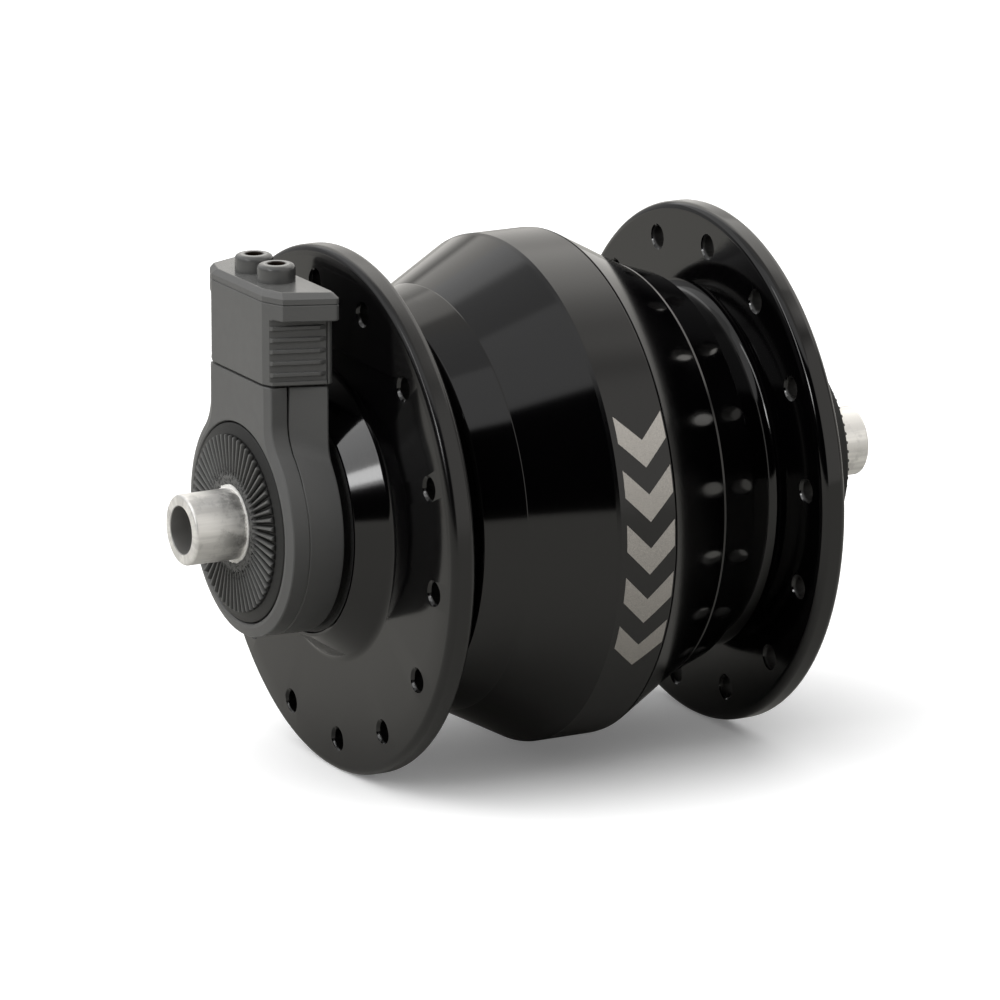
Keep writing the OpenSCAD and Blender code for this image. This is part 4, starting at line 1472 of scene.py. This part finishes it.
# The walls behind the hub, from this azimuth on, are a little warmer
WARM_FROM = 92
WARM_WHITE = (1, 0.975, 0.93)
# The room that the gloss mirrors: left, right, low, high and two softnesses, in degrees, and
# how bright each wall is
ROOM_WALLS = {
    "ceiling": (-250, 250, 52, 150, 10, 6, 0.62),
    "ceiling_front": (-35, 108, 48.5, 80, 20, 2, 0.96),
    "back_left": (-250, -102, -30, 36, 8, 8, 1.15),
    "back_left_high": (-250, -100, 29, 62, 12, 8, 1.9),
    "left": (-104, -78, 17, 60, 8, 8, 1.33),
    "left_low": (-104, -45, -30, 22, 10, 8, 0.42),
    "front_left": (-80, -14, 20, 54, 10, 4, 0.9),
    "right": (90, 150, -30, 52, 6, 8, 1.0),
    "between": (140, 200, -30, 52, 14, 8, 0.42),
    "back_right": (192, 250, -30, 52, 14, 8, 1.0),
    "back_right_high": (150, 250, 34, 60, 20, 8, 1.9),
}


def away_from_hub(azimuth, elevation):
    """The direction of a place round the hub: azimuth 0 is at -Y and 90 degrees at +X."""
    flat = math.cos(elevation)
    return Vector((
        math.sin(azimuth) * flat, -math.cos(azimuth) * flat, math.sin(elevation),
    ))


def panel_lamp(name, azimuth, elevation, distance, width, height, power, roll):
    """A soft box that faces the hub."""
    lamp = bpy.data.lights.new(name, "AREA")
    lamp.shape = "RECTANGLE"
    lamp.size = width
    lamp.size_y = height
    lamp.energy = power
    made = bpy.data.objects.new(name, lamp)
    bpy.context.scene.collection.objects.link(made)
    away = away_from_hub(math.radians(azimuth), math.radians(elevation))
    made.location = away * distance
    turn = away.to_track_quat("Z", "Y").to_matrix() @ Matrix.Rotation(math.radians(roll), 3, "Z")
    made.rotation_euler = turn.to_euler()
    made.visible_camera = False


class HUB_OT_stage(bpy.types.Operator):
    """Sets up the floor, the world, the lamps and the camera"""

    bl_idname = "hub.stage"
    bl_label = "Stage"

    def execute(self, context):
        settings = context.scene.stage_settings
        self.make_floor(context, settings)
        self.make_world(context)
        for name, lamp in LAMPS.items():
            panel_lamp(name, *lamp)
        self.make_camera(context, settings)
        context.scene.view_settings.view_transform = "Standard"
        return {"FINISHED"}

    def make_floor(self, context, settings):
        bm = bmesh.new()
        bmesh.ops.create_grid(bm, x_segments=1, y_segments=1, size=settings.floor_reach)
        bmesh.ops.translate(bm, vec=(0, 0, -context.scene.hub_sizes.flange_r), verts=bm.verts)
        floor = to_object("floor", bm)
        paint = Paint("floor_white")
        camera, seen = paint.background()
        tone = paint.mixed(seen, FLOOR_TONE["soft"], FLOOR_TONE["mirrored"])
        paint.set(
            base_color=paint.mixed(camera, tone, WHITE),
            roughness=0.9,
            specular_ior_level=0.0,
            emission_color=paint.mixed(camera, BLACK, WHITE),
            emission_strength=FLOOR_LIFT,
        )
        floor.data.materials.append(paint.material)

    def make_world(self, context):
        world = bpy.data.worlds.new("studio")
        world.use_nodes = True
        sky = Nodes(world.node_tree, "Generated")
        camera, seen = sky.background()
        x, y, z = sky.xyz()
        azimuth = x.math("ARCTAN2", -1 * y) * (180 / math.pi)
        height = z.math("ARCSINE") * (180 / math.pi)
        room = 0
        for left, right, low, high, side_blur, blur, level in ROOM_WALLS.values():
            across = ((azimuth - left) / side_blur + 0.5).clamped()
            across = across * ((right - azimuth) / side_blur + 0.5).clamped()
            upright = ((height - low) / blur + 0.5).clamped()
            upright = upright * ((high - height) / blur + 0.5).clamped()
            room = (across * upright * level).math("MAXIMUM", room)
        overhead = z.clamped() ** 3
        from_left = (-0.85 * y - 0.5 * x - 0.2).clamped()
        soft_light = SOFT_LIGHT["overhead"] * overhead + SOFT_LIGHT["from_left"] * from_left
        glow = camera + (1 - camera) * (seen * room + (1 - seen) * soft_light)
        background = world.node_tree.nodes["Background"]
        behind = (abs(azimuth) > WARM_FROM) * (1 - camera) * seen
        sky.join(background.inputs["Color"], sky.mixed(behind, WHITE, WARM_WHITE))
        sky.join(background.inputs["Strength"], glow)
        context.scene.world = world

    def make_camera(self, context, settings):
        right = Vector((math.cos(settings.azimuth), math.sin(settings.azimuth), 0))
        away = away_from_hub(settings.azimuth, settings.elevation)
        up = away.cross(right)
        lens = bpy.data.cameras.new("camera")
        lens.sensor_width = SENSOR
        lens.lens = settings.focal * SENSOR / PHOTO_SIDE
        lens.clip_start = 0.01
        lens.clip_end = 20
        camera = bpy.data.objects.new("camera", lens)
        context.scene.collection.objects.link(camera)
        place = Matrix((right, up, away)).transposed().to_4x4()
        shift = settings.aside * right + settings.above * up
        place.translation = settings.distance * away - shift
        camera.matrix_world = place
        context.scene.camera = camera


OPERATORS = (
    HUB_OT_left_shell,
    HUB_OT_right_shell,
    HUB_OT_seals,
    HUB_OT_axle,
    HUB_OT_locknuts,
    HUB_OT_connector,
    HUB_OT_plug,
    HUB_OT_cap,
    HUB_OT_inside,
    HUB_OT_stage,
)


class HUB_PT_panel(bpy.types.Panel):
    """Lists the hub's pieces"""

    bl_label = "Dynamo hub"
    bl_idname = "HUB_PT_panel"
    bl_space_type = "VIEW_3D"
    bl_region_type = "UI"
    bl_category = "Hub"

    def draw(self, context):
        for operator in OPERATORS:
            self.layout.operator(operator.bl_idname)


CLASSES = (*PROPERTY_GROUPS.values(), *OPERATORS, HUB_PT_panel)


def register():
    for made in CLASSES:
        bpy.utils.register_class(made)
    for name, group in PROPERTY_GROUPS.items():
        setattr(bpy.types.Scene, name, PointerProperty(type=group))


def unregister():
    for name in PROPERTY_GROUPS:
        delattr(bpy.types.Scene, name)
    for made in reversed(CLASSES):
        bpy.utils.unregister_class(made)


def main():
    register()
    for operator in OPERATORS:
        group, name = operator.bl_idname.split(".")
        getattr(getattr(bpy.ops, group), name)()


if __name__ == "__main__":
    main()
